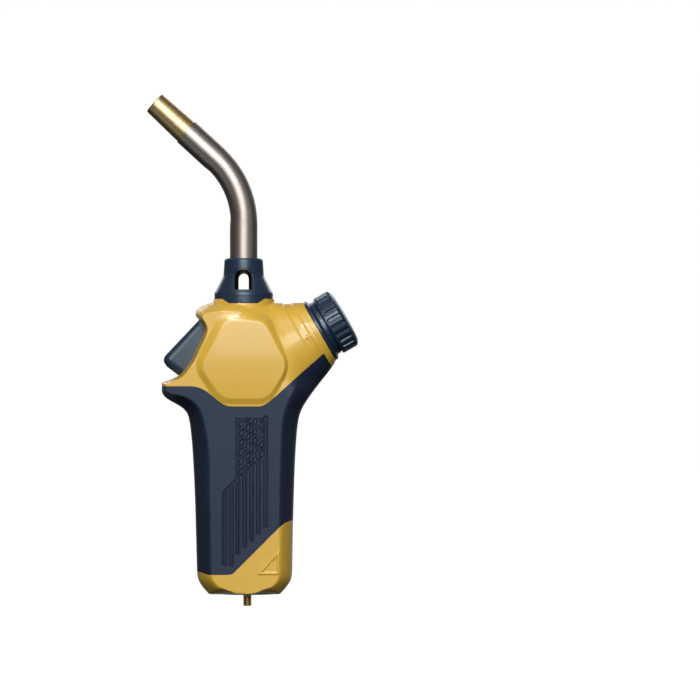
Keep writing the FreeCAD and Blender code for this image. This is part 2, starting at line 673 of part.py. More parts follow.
# Shut-off plunger, pushed inwards by the trigger.
place(turned("valve_plunger", [
    (0, 0), (1.0, 0), (2.0, 0.4), (3.3, 0.4), (3.3, 0.9), (2.0, 0.9), (2.0, 9.9), (1.6, 9.9),
    (1.6, 11.1), (2.0, 11.1), (2.0, 12.0), (0.9, 12.6), (0, 12.6)]),
    (-plunger_x, 0, shut_z), TO_X)
place(turned("plunger_oring", [(1.6, 0.05), (2.0, 0.05), (2.0, 1.1), (1.6, 1.1)]),
      (-plunger_x + 9.95, 0, shut_z), TO_X)
coil("plunger_spring", mean_r=cell("plunger_spring_r", 2.7),
     wire_r=cell("plunger_spring_wire_r", 0.3), length=cell("plunger_spring_len", 7.5),
     turns=5, base=(-16.3, 0, shut_z), rotation=TO_X)

# ---------------------------------------------------------- flow control train
on_knob(turned("flow_stem", [
    (0, -36.8), (0.72, -35.0), (1.6, -33.6), (1.6, -31.0), (2.4, -30.6), (2.4, -19.0),
    (stem_r, -18.6), (stem_r, 11.0), (0, 11.0)]))

flow_oring = doc.addObject("Part::Torus", "flow_oring_torus")
bind(flow_oring, "Radius1", cell("flow_oring_r", 3.0))
bind(flow_oring, "Radius2", cell("flow_oring_wire_r", 0.93))
label(place(flow_oring, along_knob(-16.0), TO_KNOB), "flow_oring")

packing_nut = on_knob(turned("packing_nut_blank", [
    (stem_bore_r, -15.0), (4.0, -15.0), (4.0, -12.0), (6.2, -12.0), (6.2, -8.6), (5.6, -8.0),
    (stem_bore_r, -8.0)]))
hex_nut("packing_nut", packing_nut, 6.6, 12.0, along_knob(-17.0), TO_KNOB)

on_knob(turned("knob_flange", [
    (3.0, -5.6), (6.5, -5.6), (6.5, 0), (neck_r, 0), (neck_r, 1.2), (12.6, 2.2), (12.6, 3.9),
    (3.0, 3.9)]))

knob = on_knob(turned("flow_knob", [
    (stem_bore_r, knob_low), (knob_r - 1.0, knob_low), (knob_r, knob_low + 0.6),
    (knob_r, knob_top - 1.6), (knob_r - 0.6, knob_top - 0.6), (knob_r - 2.2, knob_top - 0.1),
    (0, knob_top), (0, 11.8), (stem_bore_r, 11.8)]))
flute = body_sketch(knob, "flute_profile", "XY_Plane", flute_top)
fill_polygon(flute, [(knob_r - 0.6, -0.75), (knob_r + 0.8, -1.4), (knob_r + 0.8, 1.4),
                     (knob_r - 0.6, 0.75)])
polar_pocket(knob, flute, flute_len, 24, "flute", "flutes")

# --------------------------------------------------------------------- trigger
# X, Z corners of the trigger, then of the pocket inside it.
TRIGGER = [(-20.4, 120.1), (-35.9, 103.7), (-36.4, 101.6), (-35.2, 99.4), (-29.8, 95.3),
           (-26.2, 94.2), (-19.6, 92.8), (-17.5, 93.6), (-17.5, 104.5), (-15.5, 113.5),
           (-14.1, 117.5)]
POCKET = [(-20.0, 106.5), (-24.5, 110.5), (-32.6, 101.8), (-30.0, 99.0), (-22.0, 96.8),
          (-20.0, 98.0)]
POCKET_HALF = 5.6
trigger_blank = fuse(
    "trigger_blank",
    prism("trigger_plate", cell_points("trigger", TRIGGER), -trigger_half, trigger_half),
    y_rod("trigger_boss", 3.5, trigger_half * 2, pivot_x, -trigger_half, pivot_z),
    box("trigger_lug", (-19.6, POCKET_HALF, 92.8), (-16.2, 13.0, 97.6)))
label(cut(
    "trigger_cut", trigger_blank,
    prism("trigger_pocket", POCKET, -POCKET_HALF, POCKET_HALF),
    y_rod("trigger_bore", trigger_pin_r + 0.06, 20.0, pivot_x, -10.0, pivot_z)), "trigger")
label(y_rod("trigger_pin_rod", trigger_pin_r, 27.8, pivot_x, -13.9, pivot_z), "trigger_pin")

# -------------------------------------------------------------------- ignition
piezo = turned("piezo_blank", [
    (2.65, 0), (3.9, 0), (piezo_r, 0.5), (piezo_r, 21.5), (3.6, 22.0), (0, 22.0), (0, 14.0),
    (2.65, 14.0)])
label(place(piezo, (-9.9, piezo_y, piezo_z), TO_X), "piezo_round")
wire_port = cylinder("piezo_wire_port", wire_r, 4.0, (wire_x, piezo_y, WIRE_LOW))
label(cut("piezo_cut", piezo, wire_port), "piezo_body")
place(turned("piezo_plunger", [(0, 0), (1.2, 0), (2.6, 0.8), (2.6, 9.4), (0, 9.4)]),
      (-15.9, piezo_y, piezo_z), TO_X)
coil("piezo_spring", mean_r=cell("piezo_spring_r", 2.1),
     wire_r=cell("piezo_spring_wire_r", 0.3), length=cell("piezo_spring_len", 10.5),
     turns=6, base=(-6.45, piezo_y, piezo_z), rotation=TO_X)

# The wire path lies in a YZ plane; its points are Y, Z.
sketch_yz = Rotation(Vector(0, 1, 0), Vector(0, 0, 1), Vector(1, 0, 0), "XYZ")
wire_path = tube_path(
    "wire_path", [(piezo_y, WIRE_LOW), (piezo_y, 116.5), (0.0, 127.5), (0.0, 131.0)],
    [3.0, 3.0], Placement(Vector(wire_x.value, 0, 0), sketch_yz))
label(pipe("ignition_wire_sweep", wire_path, wire_r, (wire_x, piezo_y, WIRE_LOW)),
      "ignition_wire")


# ------------------------------------------------- burner: jet, mixer and collar
def window(name, points, reach):
    """Arched window through the burner axis, cut from -reach to reach in Y.
    points are X from the burner axis, and Z."""
    corners = [(burner_x + x, cell("%s_z_%d" % (name, i), z)) for i, (x, z) in enumerate(points)]
    return prism(name, corners, -reach, reach)


on_burner(turned("orifice", [
    (0.25, 117.5), (2.4, 117.5), (2.4, valve_top), (2.6, valve_top), (2.6, 123.2),
    (1.5, 123.8), (1.5, 131.2), (1.1, 131.8), (0.25, 131.8)]))

mixer = on_burner(turned("mixer_blank", [
    (4.8, valve_top), (tube_bore_r, valve_top), (tube_bore_r, 147.0), (4.8, 147.0)]))
label(mixer, "mixer_round")
mixer_window = window("mixer_window", [
    (-2.3, 132.8), (2.3, 132.8), (2.3, 137.5), (1.99, 138.65), (1.15, 139.49), (0.0, 139.8),
    (-1.15, 139.49), (-1.99, 138.65), (-2.3, 137.5)], 8.0)
wire_slot = box("mixer_wire_slot", (wire_x - 1.2, 2.0, 120.0), (wire_x + 1.2, 7.0, 126.5))
label(cut("mixer_cut", mixer, mixer_window, wire_slot), "mixer")

collar = on_burner(turned("collar_blank", [
    (7.5, 122.2), (11.1, 122.2), (11.1, 124.1), (9.5, 124.1), (9.5, seat_top),
    (12.8, seat_top), (12.8, 131.3), (8.77, 138.7), (8.3, 145.3), (7.7, 146.4),
    (tube_r, 146.4), (tube_r, 140.2), (7.5, 139.6)]))
label(collar, "collar_round")
tab_ring = on_burner(turned("collar_tab_ring", [
    (9.6, 125.0), (12.8, 125.0), (12.8, 129.2), (9.6, 129.2)]))
label(tab_ring, "collar_tab_round")
tab_points = cell_points("tab", TAB)
tab_plates = fuse("collar_tab_plates",
                  prism("collar_tab_near", tab_points, -14.0, -8.0),
                  prism("collar_tab_far", tab_points, 8.0, 14.0))
tabs = common("collar_tabs", tab_ring, tab_plates)
collar_window = window("collar_window", [
    (-3.7, 132.7), (3.7, 132.7), (3.7, 137.7), (3.2, 139.55), (1.85, 140.9), (0.0, 141.4),
    (-1.85, 140.9), (-3.2, 139.55), (-3.7, 137.7)], 14.0)
tube_room = cylinder("collar_tube_room", tube_r, 10.0, (burner_x, 0, tube_low))
label(cut("collar_cut", fuse("collar_fuse", collar, tabs), collar_window, tube_room),
      "air_collar")

# -------------------------------------------------- burn tube and electrode
BEND = math.radians(bend_deg.value)
bend_sin = Dim(math.sin(BEND), "sin(%s * 1deg)" % bend_deg.text)
bend_cos = Dim(math.cos(BEND), "cos(%s * 1deg)" % bend_deg.text)
half_bend_tan = Dim(math.tan(BEND / 2), "tan(%s * 0.5deg)" % bend_deg.text)
bend_run = bend_r * half_bend_tan               # straight length lost to the bend
bend_start = bend_z - bend_run


def burner_path(sketch, offset, low_z, reach):
    """Straight, bend, straight: a line parallel to the burn tube centre line,
    from low_z to reach past the corner. Returns the sketch as a sweep spine."""
    radius = bend_r + offset
    centre_x = burner_x - bend_r
    low = (burner_x + offset, low_z)
    arc_start = (burner_x + offset, bend_start)
    arc_end = (centre_x + radius * bend_cos, bend_start + radius * bend_sin)
    upper_len = reach - bend_run
    end = (arc_end[0] - upper_len * bend_sin, arc_end[1] + upper_len * bend_cos)
    corners = [Vector(num(x), num(z), 0) for x, z in (low, arc_start, arc_end, end)]
    centre = Vector(num(centre_x), num(bend_start), 0)
    arc_mid = centre + Vector(math.cos(BEND / 2), math.sin(BEND / 2), 0) * num(radius)
    sketch.addGeometry(Part.LineSegment(corners[0], corners[1]), False)
    sketch.addGeometry(Part.Arc(corners[1], arc_mid, corners[2]), False)
    sketch.addGeometry(Part.LineSegment(corners[2], corners[3]), False)
    for edge, vertex, point, tag in ((0, 1, low, "a"), (0, 2, arc_start, "b"),
                                     (2, 1, arc_end, "c"), (2, 2, end, "d")):
        for axis, value in zip("XY", point):
            constrain(sketch, tag + axis, "Distance" + axis, -1, 1, edge, vertex, value=value)
    sketch.addConstraint(Sketcher.Constraint("Coincident", 0, 2, 1, 1))
    sketch.addConstraint(Sketcher.Constraint("Coincident", 1, 2, 2, 1))
    constrain(sketch, "bend", "Radius", 1, value=radius)
    return sketch, ["Edge1", "Edge2", "Edge3"]


burn_tube = body("burn_tube")
burn_path = body_sketch(burn_tube, "burn_path", "XZ_Plane")
burn_spine = burner_path(burn_path, 0.0, tube_low, corner_to_joint)
burn_section = body_sketch(burn_tube, "burn_section", "XY_Plane", tube_low)
for i, radius in enumerate((tube_r, tube_bore_r)):
    circle = Part.Circle(Vector(burner_x.value, 0, 0), Vector(0, 0, 1), radius.value)
    burn_section.addGeometry(circle, False)
    constrain(burn_section, "r%d" % i, "Radius", i, value=radius)
    constrain(burn_section, "c%d" % i, "DistanceX", i, 3, -1, 1, value=-burner_x)
    burn_section.addConstraint(Sketcher.Constraint("PointOnObject", i, 3, -1))
# The sweep needs both sketches solved before it refers to their edges.
doc.recompute()
burn_sweep = burn_tube.newObject("PartDesign::AdditivePipe", "burn_sweep")
burn_sweep.Profile = burn_section
burn_sweep.Spine = burn_spine
burn_path.Visibility = burn_section.Visibility = False

electrode_offset = cell("electrode_offset", 3.2)
electrode_r = cell("electrode_r", 0.6)
insulator_r = cell("insulator_r", 1.3)


def offset_rod(name, low_z, reach, radius):
    """Rod parallel to the burn tube centre line, on the outer side of the bend."""
    spine = burner_path(xz_sketch(name + "_path"), electrode_offset, low_z, reach)
    return pipe(name + "_sweep", spine, radius, (burner_x + electrode_offset, 0, low_z))


INSULATOR_LOW = 148.0
insulator_reach = corner_to_joint - 9.5
label(offset_rod("electrode", 131.0, corner_to_joint + 9.0, electrode_r), "electrode")
insulator = offset_rod("insulator", INSULATOR_LOW, insulator_reach, insulator_r)
insulator_bore = offset_rod("insulator_bore", INSULATOR_LOW, insulator_reach, electrode_r)
label(cut("insulator_cut", insulator, insulator_bore), "electrode_insulator")


# ------------------------------------------------------------------ flame tip
def on_tip(obj):
    """Puts a body on the upper centre line, its origin at the end of the burn tube."""
    place(obj, (burner_x - corner_to_joint * bend_sin, 0, bend_z + corner_to_joint * bend_cos),
          Rotation(Vector(0, 1, 0), -bend_deg.value))
    obj.setExpression("Placement.Rotation.Angle", (-bend_deg).text)
    return obj


on_tip(turned("flame_tip", [
    (4.2, -8.0), (tube_bore_r, -8.0), (tube_bore_r, 0), (5.55, 0), (5.5, 4.0),
    (5.05, tip_len - 0.4), (4.8, tip_len), (4.5, tip_len), (4.2, tip_len - 1.0)]))

hole_r = cell("holder_hole_r", 0.75)
hole_pitch_r = cell("holder_hole_pitch_r", 2.6)
holder = on_tip(turned("flame_holder", [
    (0, 10.6), (4.2, 10.6), (4.2, 11.8), (1.2, 11.8), (0.9, 13.4), (0, 13.4)]))
hole = body_sketch(holder, "holder_hole", "XY_Plane", 12.6)
hole.addGeometry(
    Part.Circle(Vector(hole_pitch_r.value, 0, 0), Vector(0, 0, 1), hole_r.value), False)
constrain(hole, "hr", "Radius", 0, value=hole_r)
constrain(hole, "hx", "DistanceX", -1, 1, 0, 3, value=hole_pitch_r)
hole.addConstraint(Sketcher.Constraint("PointOnObject", 0, 3, -1))
polar_pocket(holder, hole, 3.0, 7, "holder_pocket", "holder_holes")

# ------------------------------------------------------------------ write out
NODES = [
    "housing_left", "housing_right", "grip_left", "grip_right", "housing_screws",
    "inlet_fitting", "inlet_pin", "inlet_seal", "inlet_filter",
    "regulator_body", "regulator_poppet", "diaphragm", "diaphragm_plate", "regulator_spring",
    "regulator_bonnet", "adjusting_screw", "gas_tube", "tube_nut",
    "valve_body", "valve_plunger", "plunger_oring", "plunger_spring",
    "flow_stem", "flow_oring", "packing_nut", "knob_flange", "flow_knob",
    "trigger", "trigger_pin", "piezo_body", "piezo_plunger", "piezo_spring",
    "ignition_wire", "electrode", "electrode_insulator",
    "orifice", "mixer", "air_collar", "burn_tube", "flame_tip", "flame_holder",
]
doc.recompute()
for obj in doc.Objects:
    if any(state in ("Invalid", "Error") for state in obj.State):
        raise RuntimeError("%s is in state %s" % (obj.Label, obj.State))
os.makedirs("parts", exist_ok=True)
for name in NODES:
    found = doc.getObjectsByLabel(name)
    if len(found) != 1:
        raise RuntimeError("%s: %d objects carry this label" % (name, len(found)))
    shape = found[0].Shape
    if shape.isNull() or not shape.isValid() or not shape.Solids:
        raise RuntimeError("%s has no valid solid" % name)
    shape.exportStep("parts/%s.step" % name)
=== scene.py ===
"""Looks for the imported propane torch: shells, grips, knob, collar, trigger, burn tube, studio.

The torch stands along +Z with its gas inlet at the foot. Its two moulded halves meet on the
parting plane y = 0. The burner axis is upright at BURNER_X, and the burn tube bends towards -X.
The flow knob points up and towards +X, the trigger is on the -X side. The camera looks
along +Y, so the near half is at -Y. Lengths are mm unless a comment says metres.
"""
import math

import bpy
import bmesh
import numpy as np
from mathutils import Matrix, Vector
from mathutils.geometry import delaunay_2d_cdt

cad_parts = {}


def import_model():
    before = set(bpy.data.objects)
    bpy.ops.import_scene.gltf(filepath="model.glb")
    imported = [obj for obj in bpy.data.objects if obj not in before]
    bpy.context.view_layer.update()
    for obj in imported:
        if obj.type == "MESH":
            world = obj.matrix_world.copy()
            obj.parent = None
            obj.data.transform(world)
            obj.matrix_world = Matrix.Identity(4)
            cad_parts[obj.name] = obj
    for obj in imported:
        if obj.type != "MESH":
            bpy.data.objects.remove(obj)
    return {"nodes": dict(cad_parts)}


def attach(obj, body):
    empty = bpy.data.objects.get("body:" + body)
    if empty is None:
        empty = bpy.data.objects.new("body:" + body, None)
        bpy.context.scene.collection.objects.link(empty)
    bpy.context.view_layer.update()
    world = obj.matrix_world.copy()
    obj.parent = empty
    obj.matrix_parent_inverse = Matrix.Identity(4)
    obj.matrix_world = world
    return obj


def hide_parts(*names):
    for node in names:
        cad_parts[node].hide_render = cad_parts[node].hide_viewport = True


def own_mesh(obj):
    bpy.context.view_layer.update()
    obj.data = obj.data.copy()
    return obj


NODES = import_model()["nodes"]
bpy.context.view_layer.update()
SCENE = bpy.context.scene
MM = 0.001                              # metres in a millimetre

CAMERA_X, CAMERA_Z, CAMERA_DISTANCE = 44.8, 106.4, 1960.0
FLOOR_Z = -5.35
HALF_Y = 18.0                           # height of a moulded half above the parting plane

BURNER_X = -1.6
KNOB_X, KNOB_Z = 31.4, 114.5
KNOB_RISE = 30.0                        # degrees of the knob axis above +X
KNOB_COS, KNOB_SIN = math.cos(math.radians(KNOB_RISE)), math.sin(math.radians(KNOB_RISE))
PIVOT_X, PIVOT_Z = -17.5, 117.5         # trigger pivot
TRIGGER_HALF_Y = 8.0

BEND_DEGREES = 47.5
BEND = math.radians(BEND_DEGREES)
BEND_RADIUS = 38.0
TUBE_FOOT_Z, BEND_START_Z = 141.5, 161.9
ELBOW_Z, TIP_REACH = 178.6, 33.9        # where the tip's axis crosses the burner axis; run to the tip
TIP_X = BURNER_X - TIP_REACH * math.sin(BEND)
TIP_Z = ELBOW_Z + TIP_REACH * math.cos(BEND)


# ------------------------------------------------------------------ mesh basics
def make(name, verts, faces, angle=None):
    """Mesh object from mm points; smooth shaded with edges above angle degrees kept sharp."""
    mesh = bpy.data.meshes.new(name)
    mesh.from_pydata((np.asarray(verts, dtype=float) * MM).tolist(), [], faces)
    mesh.validate()
    mesh.update()
    shape = bpy.data.objects.new(name, mesh)
    SCENE.collection.objects.link(shape)
    work = bmesh.new()
    work.from_mesh(mesh)
    bmesh.ops.recalc_face_normals(work, faces=work.faces)
    work.to_mesh(mesh)
    work.free()
    if angle is not None:
        shade(shape, angle)
    return shape


def shade(shape, angle):
    mesh = shape.data
    mesh.polygons.foreach_set("use_smooth", [True] * len(mesh.polygons))
    mesh.set_sharp_from_angle(angle=math.radians(angle))


def combine(shape, other, operation):
    """Applies a boolean to shape and removes the other object."""
    modifier = shape.modifiers.new("cut", "BOOLEAN")
    modifier.operation = operation
    modifier.object = other
    modifier.solver = "MANIFOLD"
    graph = bpy.context.evaluated_depsgraph_get()
    result = bpy.data.meshes.new_from_object(shape.evaluated_get(graph), depsgraph=graph)
    shape.modifiers.remove(modifier)
    old = shape.data
    shape.data = result
    if old.users == 0:
        bpy.data.meshes.remove(old)
    bpy.data.objects.remove(other)


def carve(shape, *cutters):
    for cutter in cutters:
        combine(shape, cutter, "DIFFERENCE")


def copy_of(shape, name):
    copy = shape.copy()
    copy.data = shape.data.copy()
    copy.name = name
    copy.data.name = name
    SCENE.collection.objects.link(copy)
    return copy


def mirrored(shape, name):
    """Copy reflected in the parting plane."""
    copy = copy_of(shape, name)
    copy.data.transform(Matrix.Scale(-1, 4, (0, 1, 0)))
    copy.data.flip_normals()
    return copy


def cap(outline):
    """Triangles filling a closed outline, as indices into it."""
    points = [Vector(p) for p in outline]
    result = delaunay_2d_cdt(points, [], [list(range(len(points)))], 1, 1e-7)
    source = [s[0] for s in result[3]]
    return [[source[i] for i in triangle] for triangle in result[2]]


def strip(first, second, count):
    """Quads between two closed rings of count points, given each ring's first index."""
    return [[first + i, first + (i + 1) % count, second + (i + 1) % count, second + i]
            for i in range(count)]


def prism(outline, y0, y1):
    """Closed prism of an XZ outline between two Y values."""
    count = len(outline)
    verts = [(x, y, z) for y in (y0, y1) for x, z in outline]
    triangles = cap(outline)
    faces = triangles + [[i + count for i in t[::-1]] for t in triangles]
    return make("prism", verts, faces + strip(0, count, count))


def loft(sections, name="loft"):
    """Closed ruled solid through (XZ outline, y) sections with matching points."""
    count = len(sections[0][0])
    verts = [(x, y, z) for outline, y in sections for x, z in outline]
    faces = []
    for k in range(len(sections) - 1):
        faces += strip(k * count, (k + 1) * count, count)
    for k in (0, len(sections) - 1):
        faces += [[i + k * count for i in (t if k else t[::-1])] for t in cap(sections[k][0])]
    return make(name, verts, faces)


def rod(start, direction, radius, length, seg=64):
    """Closed cylinder from start along direction."""
    turn = Vector((0, 0, 1)).rotation_difference(Vector(direction).normalized()).to_matrix()
    verts = []
    for height in (0.0, length):
        for i in range(seg):
            a = 2 * math.pi * i / seg
            local = Vector((radius * math.cos(a), radius * math.sin(a), height))
            verts.append(Vector(start) + turn @ local)
    ends = [list(range(seg))[::-1], list(range(seg, 2 * seg))]
    return make("rod", verts, strip(0, seg, seg) + ends)


def lathe(name, profile, seg=128, place=None, radial=None, angle=32.0):
    """Turned piece from a closed (radius, height) section.

    radial(radius, height, turn) may change the radius round the turn.
    """
    verts, rows = [], []
    for radius, height in profile:
        if abs(radius) < 1e-9:
            rows.append([len(verts)] * seg)
            verts.append((0, 0, height))
            continue
        rows.append(range(len(verts), len(verts) + seg))
        for i in range(seg):
            turn = 2 * math.pi * i / seg
            r = radial(radius, height, turn) if radial else radius
            verts.append((r * math.cos(turn), r * math.sin(turn), height))
    faces = []
    for j, row in enumerate(rows):
        following = rows[(j + 1) % len(rows)]
        for i in range(seg):
            k = (i + 1) % seg
            corners = list(dict.fromkeys([row[i], row[k], following[k], following[i]]))
            if len(corners) > 2:
                faces.append(corners)
    if place is not None:
        verts = [tuple(place @ Vector(p)) for p in verts]
    return make(name, verts, faces, angle)


def placed(x, z, tilt=0.0):
    """Matrix for a piece along its own Z: tilt degrees about +Y, then move."""
    return Matrix.Translation((x, 0, z)) @ Matrix.Rotation(math.radians(tilt), 4, "Y")


AT_KNOB = placed(KNOB_X, KNOB_Z, 90.0 - KNOB_RISE)
AT_BURNER = placed(BURNER_X, 0)
AT_TIP = placed(TIP_X, TIP_Z, -BEND_DEGREES)


# -------------------------------------------------------------------- 2D outlines
def curve(start, corner, end, steps):
    """Quadratic curve that rounds a corner."""
    fractions = [k / steps for k in range(steps + 1)]
    return [(1 - t) ** 2 * start + 2 * t * (1 - t) * corner + t * t * end for t in fractions]


def rounded(profile, radii, steps=5):
    """Rounds the corners of a closed outline; radii is one value or one per corner."""
    out = []
    for i, point in enumerate(profile):
        radius = radii[i] if isinstance(radii, (list, tuple)) else radii
        if radius <= 0 or abs(point[0]) < 1e-9:
            out.append(tuple(point))
            continue
        corner = Vector(point)
        back = Vector(profile[i - 1]) - corner
        ahead = Vector(profile[(i + 1) % len(profile)]) - corner
        cut = min(radius, 0.45 * back.length, 0.45 * ahead.length)
        start, end = corner + back.normalized() * cut, corner + ahead.normalized() * cut
        out += [tuple(p) for p in curve(start, corner, end, steps)]
    return out


def soften(outline, radii, steps=6):
    return np.array(rounded([tuple(p) for p in outline], radii, steps))


def dense(profile, step):
    """Adds points along the long straight runs of a closed section."""
    out = []
    for i, point in enumerate(profile):
        a, b = np.array(point), np.array(profile[(i + 1) % len(profile)])
        count = max(1, int(np.linalg.norm(b - a) / step))
        out += [tuple(a + (b - a) * j / count) for j in range(count)]
    return out


def symmetric(right):
    """Closed XZ outline about the burner axis from (half width, z) points of its +X side."""
    left = [(BURNER_X - w, z) for w, z in right]
    return left[:1] + [(BURNER_X + w, z) for w, z in right] + left[:0:-1]


def inside(outline, points):
    """Even-odd test of many points against a closed outline."""
    x, y = points.T
    result = np.zeros(len(points), bool)
    for (x0, y0), (x1, y1) in zip(outline, np.roll(outline, -1, 0)):
        if y0 == y1:
            continue
        crosses = (y0 > y) != (y1 > y)
        result ^= crosses & (x < (x1 - x0) * (y - y0) / (y1 - y0) + x0)
    return result


def distance(line, points, closed=True):
    """Distance of many points to a polyline."""
    starts = line if closed else line[:-1]
    ends = np.roll(line, -1, 0) if closed else line[1:]
    best = np.full(len(points), 1e9)
    for start, end in zip(starts, ends):
        run = end - start
        t = np.clip(((points - start) @ run) / max(run @ run, 1e-12), 0, 1)
        best = np.minimum(best, np.hypot(*(points - start - t[:, None] * run).T))
    return best


def signed(outline, points):
    """Distance to a closed outline, positive inside."""
    gap = distance(outline, points)
    return np.where(inside(outline, points), gap, -gap)


def smooth_max(a, b, blend):
    h = np.clip(0.5 + 0.5 * (a - b) / blend, 0, 1)
    return b + (a - b) * h + blend * h * (1 - h)


def ramp(x, low, high):
    """Smooth step from 0 at low to 1 at high."""
    t = np.clip((x - low) / (high - low), 0, 1)
    return t * t * (3 - 2 * t)


def at_depth(x, z, depth=HALF_Y):
    """True place of a feature depth in front of the parting plane, seen at x, z on it."""
    k = 1 - depth / CAMERA_DISTANCE
    return CAMERA_X + (x - CAMERA_X) * k, CAMERA_Z + (z - CAMERA_Z) * k


def seen_on_plane(points):
    """Reverse of at_depth for many points HALF_Y in front."""
    k = 1 - HALF_Y / CAMERA_DISTANCE
    return np.c_[CAMERA_X + (points[:, 0] - CAMERA_X) / k, CAMERA_Z + (points[:, 1] - CAMERA_Z) / k]


def knob_frame(x, z, x0=KNOB_X, z0=KNOB_Z):
    """Position along and across the knob axis, from an origin."""
    along = (x - x0) * KNOB_COS + (z - z0) * KNOB_SIN
    return along, -(x - x0) * KNOB_SIN + (z - z0) * KNOB_COS


# ------------------------------------------------------- the moulded half: outlines
# Body outline x, z; matching edge of the flat side panel x, z as seen on the parting plane;
# optional longest corner cut (LONGEST_CUT where absent).
LONGEST_CUT = 9.0
STATIONS = [
    (-16.6, 0.0, -12.4, 3.0, 0.8), (-19.14, 2.8, -14.1, 4.6), (-20.6, 4.9, -15.1, 6.2),
    (-21.55, 7.0, -15.7, 8.2), (-21.9, 10.0, -15.9, 11.0), (-22.16, 20.0, -16.2, 20.0),
    (-22.6, 37.6, -16.4, 37.6), (-23.16, 51.5, -16.5, 51.5), (-23.7, 61.0, -16.7, 61.0),
    (-24.15, 67.2, -17.4, 67.0), (-24.92, 74.2, -18.6, 73.8), (-25.64, 77.6, -19.6, 77.6),
    (-26.46, 79.4, -20.3, 79.6), (-28.04, 81.1, -21.6, 81.9), (-30.92, 82.9, -24.0, 84.4),
    (-34.2, 84.6, -28.5, 86.4), (-36.28, 86.3, -33.2, 87.2), (-37.15, 88.1, -35.5, 88.4, 0.6),
    (-37.15, 92.3, -35.6, 91.4, 0.45), (-34.17, 93.3, -33.3, 92.4), (-30.2, 95.0, -29.2, 93.9),
    (-28.3, 96.8, -27.0, 95.9), (-27.0, 98.5, -25.6, 97.8), (-24.5, 102.0, -22.9, 101.5),
    (-22.2, 107.2, -20.6, 106.8), (-20.4, 110.7, -18.8, 110.3), (-19.2, 114.2, -17.4, 114.0),
    (-19.1, 115.9, -17.3, 115.7), (-19.6, 117.7, -17.7, 117.3), (-20.9, 119.4, -18.5, 118.7),
    (-22.5, 121.3, -19.5, 120.2, 0.9), (-22.3, 122.9, -19.3, 121.3),
    (-21.6, 124.6, -18.3, 122.2, 1.0), (-16.9, 126.5, -14.0, 123.0),
    (-14.75, 127.2, -12.0, 123.1, 0.3), (-14.7, 128.6, -11.7, 123.2, 0.3),
    (11.7, 128.6, 9.0, 123.2, 0.3), (11.75, 126.9, 9.3, 123.1, 0.4),
    (15.3, 126.8, 13.4, 124.4, 0.25), (15.7, 126.42, 14.3, 124.2, 0.25),
    (19.0, 126.42, 18.3, 124.2, 0.25), (19.4, 126.82, 19.0, 124.4, 0.25),
    (24.2, 126.97, 22.9, 124.9, 0.12), (38.6, 102.03, 36.3, 103.6, 0.12),
    (37.84, 100.3, 23.4, 100.0), (35.4, 96.8, 22.9, 96.0), (31.2, 91.6, 21.4, 91.2),
    (27.2, 86.3, 18.9, 86.3), (23.9, 81.1, 16.6, 81.1), (22.6, 77.6, 15.6, 77.6),
    (21.75, 72.4, 15.0, 72.4), (21.2, 65.5, 14.7, 65.5), (20.8, 58.5, 14.5, 58.5),
    (20.4, 48.0, 14.3, 48.0), (19.9, 30.7, 14.1, 30.7), (19.65, 15.0, 14.0, 15.0),
    (19.6, 9.8, 14.0, 11.0), (19.4, 7.6, 13.8, 8.2), (18.8, 5.6, 13.2, 6.2),
    (16.9, 2.8, 12.2, 4.4), (14.3, 0.0, 10.2, 2.9, 0.8), (9.6, 0.0, 7.3, 1.95),
    (4.4, 0.0, 3.2, 1.15), (-1.1, 0.0, -1.1, 0.95), (-6.6, 0.0, -5.3, 1.15),
    (-11.8, 0.0, -9.4, 1.95),
]
FOOT_PANEL_Z = 1.2                      # panel points up to this height keep their own z

# Rounded edge band: share of the way from outline to panel, height above the parting plane.
EDGE_PROFILE = [
    (0, 2.2), (.006, 3.9), (.018, 5.4), (.04, 7.0), (.075, 8.4), (.12, 9.4), (.18, 10.3),
    (.3, 11.8), (.5, 14.1), (.8, 17.0), (.9, 17.62), (.96, 17.88), (1.0, HALF_Y),
]
BAND_LEVELS = [0, .004, .012, .024, .04, .06, .085, .115, .15, .2, .26, .33, .41, .5, .6, .7,
               .8, .87, .92, .96, 1.0]

# Hexagonal side pad: foot of its slope and rim of its top.
PAD_OUTER = soften([at_depth(*p, 18.5) for p in [
    (-12.4, 122.6), (-24.3, 99.2), (-13.0, 82.3), (10.0, 82.3), (19.2, 98.6), (9.8, 122.6)]],
    [4.2, 6.5, 5.0, 5.0, 6.5, 4.2], 10)
PAD_INNER = soften([at_depth(*p, 20.0) for p in [
    (-9.1, 118.6), (-19.9, 98.7), (-10.6, 85.6), (8.6, 85.6), (17.2, 99.0), (6.9, 118.6)]],
    [4.0, 4.6, 4.2, 4.2, 4.6, 4.0], 10)
PAD_LEVELS = (-.04, 0.0, .06, .12, .2, .35, .5, .65, .8, .88, .94, 1.0, 1.08)

# Grip region as seen on the parting plane: x, z, corner radius. Points at x = +-70 lie
# outside the body and are used as they are.
GRIP = [
    (-70.0, 90.6, 0), (-24.4, 90.6, 2.0), (-21.0, 90.1, 3.0), (-17.4, 88.3, 3.0),
    (-13.5, 84.9, 3.0), (-10.6, 82.7, 1.6), (-8.2, 81.8, 1.2), (6.0, 81.75, 1.6),
    (8.4, 82.9, 2.0), (12.6, 86.3, 2.0), (22.2, 95.1, 3.0), (33.5, 105.0, 0.7),
    (36.9, 98.9, 0.5), (70.0, 97.0, 0), (70.0, 32.2, 0), (20.0, 32.1, 1.5), (16.9, 31.1, 2.0),
    (14.3, 29.3, 2.0), (-6.6, 8.4, 0.8), (-9.0, 8.2, 2.0), (-17.5, 8.4, 2.0),
    (-22.5, 9.8, 2.0), (-70.0, 12.0, 0),
]

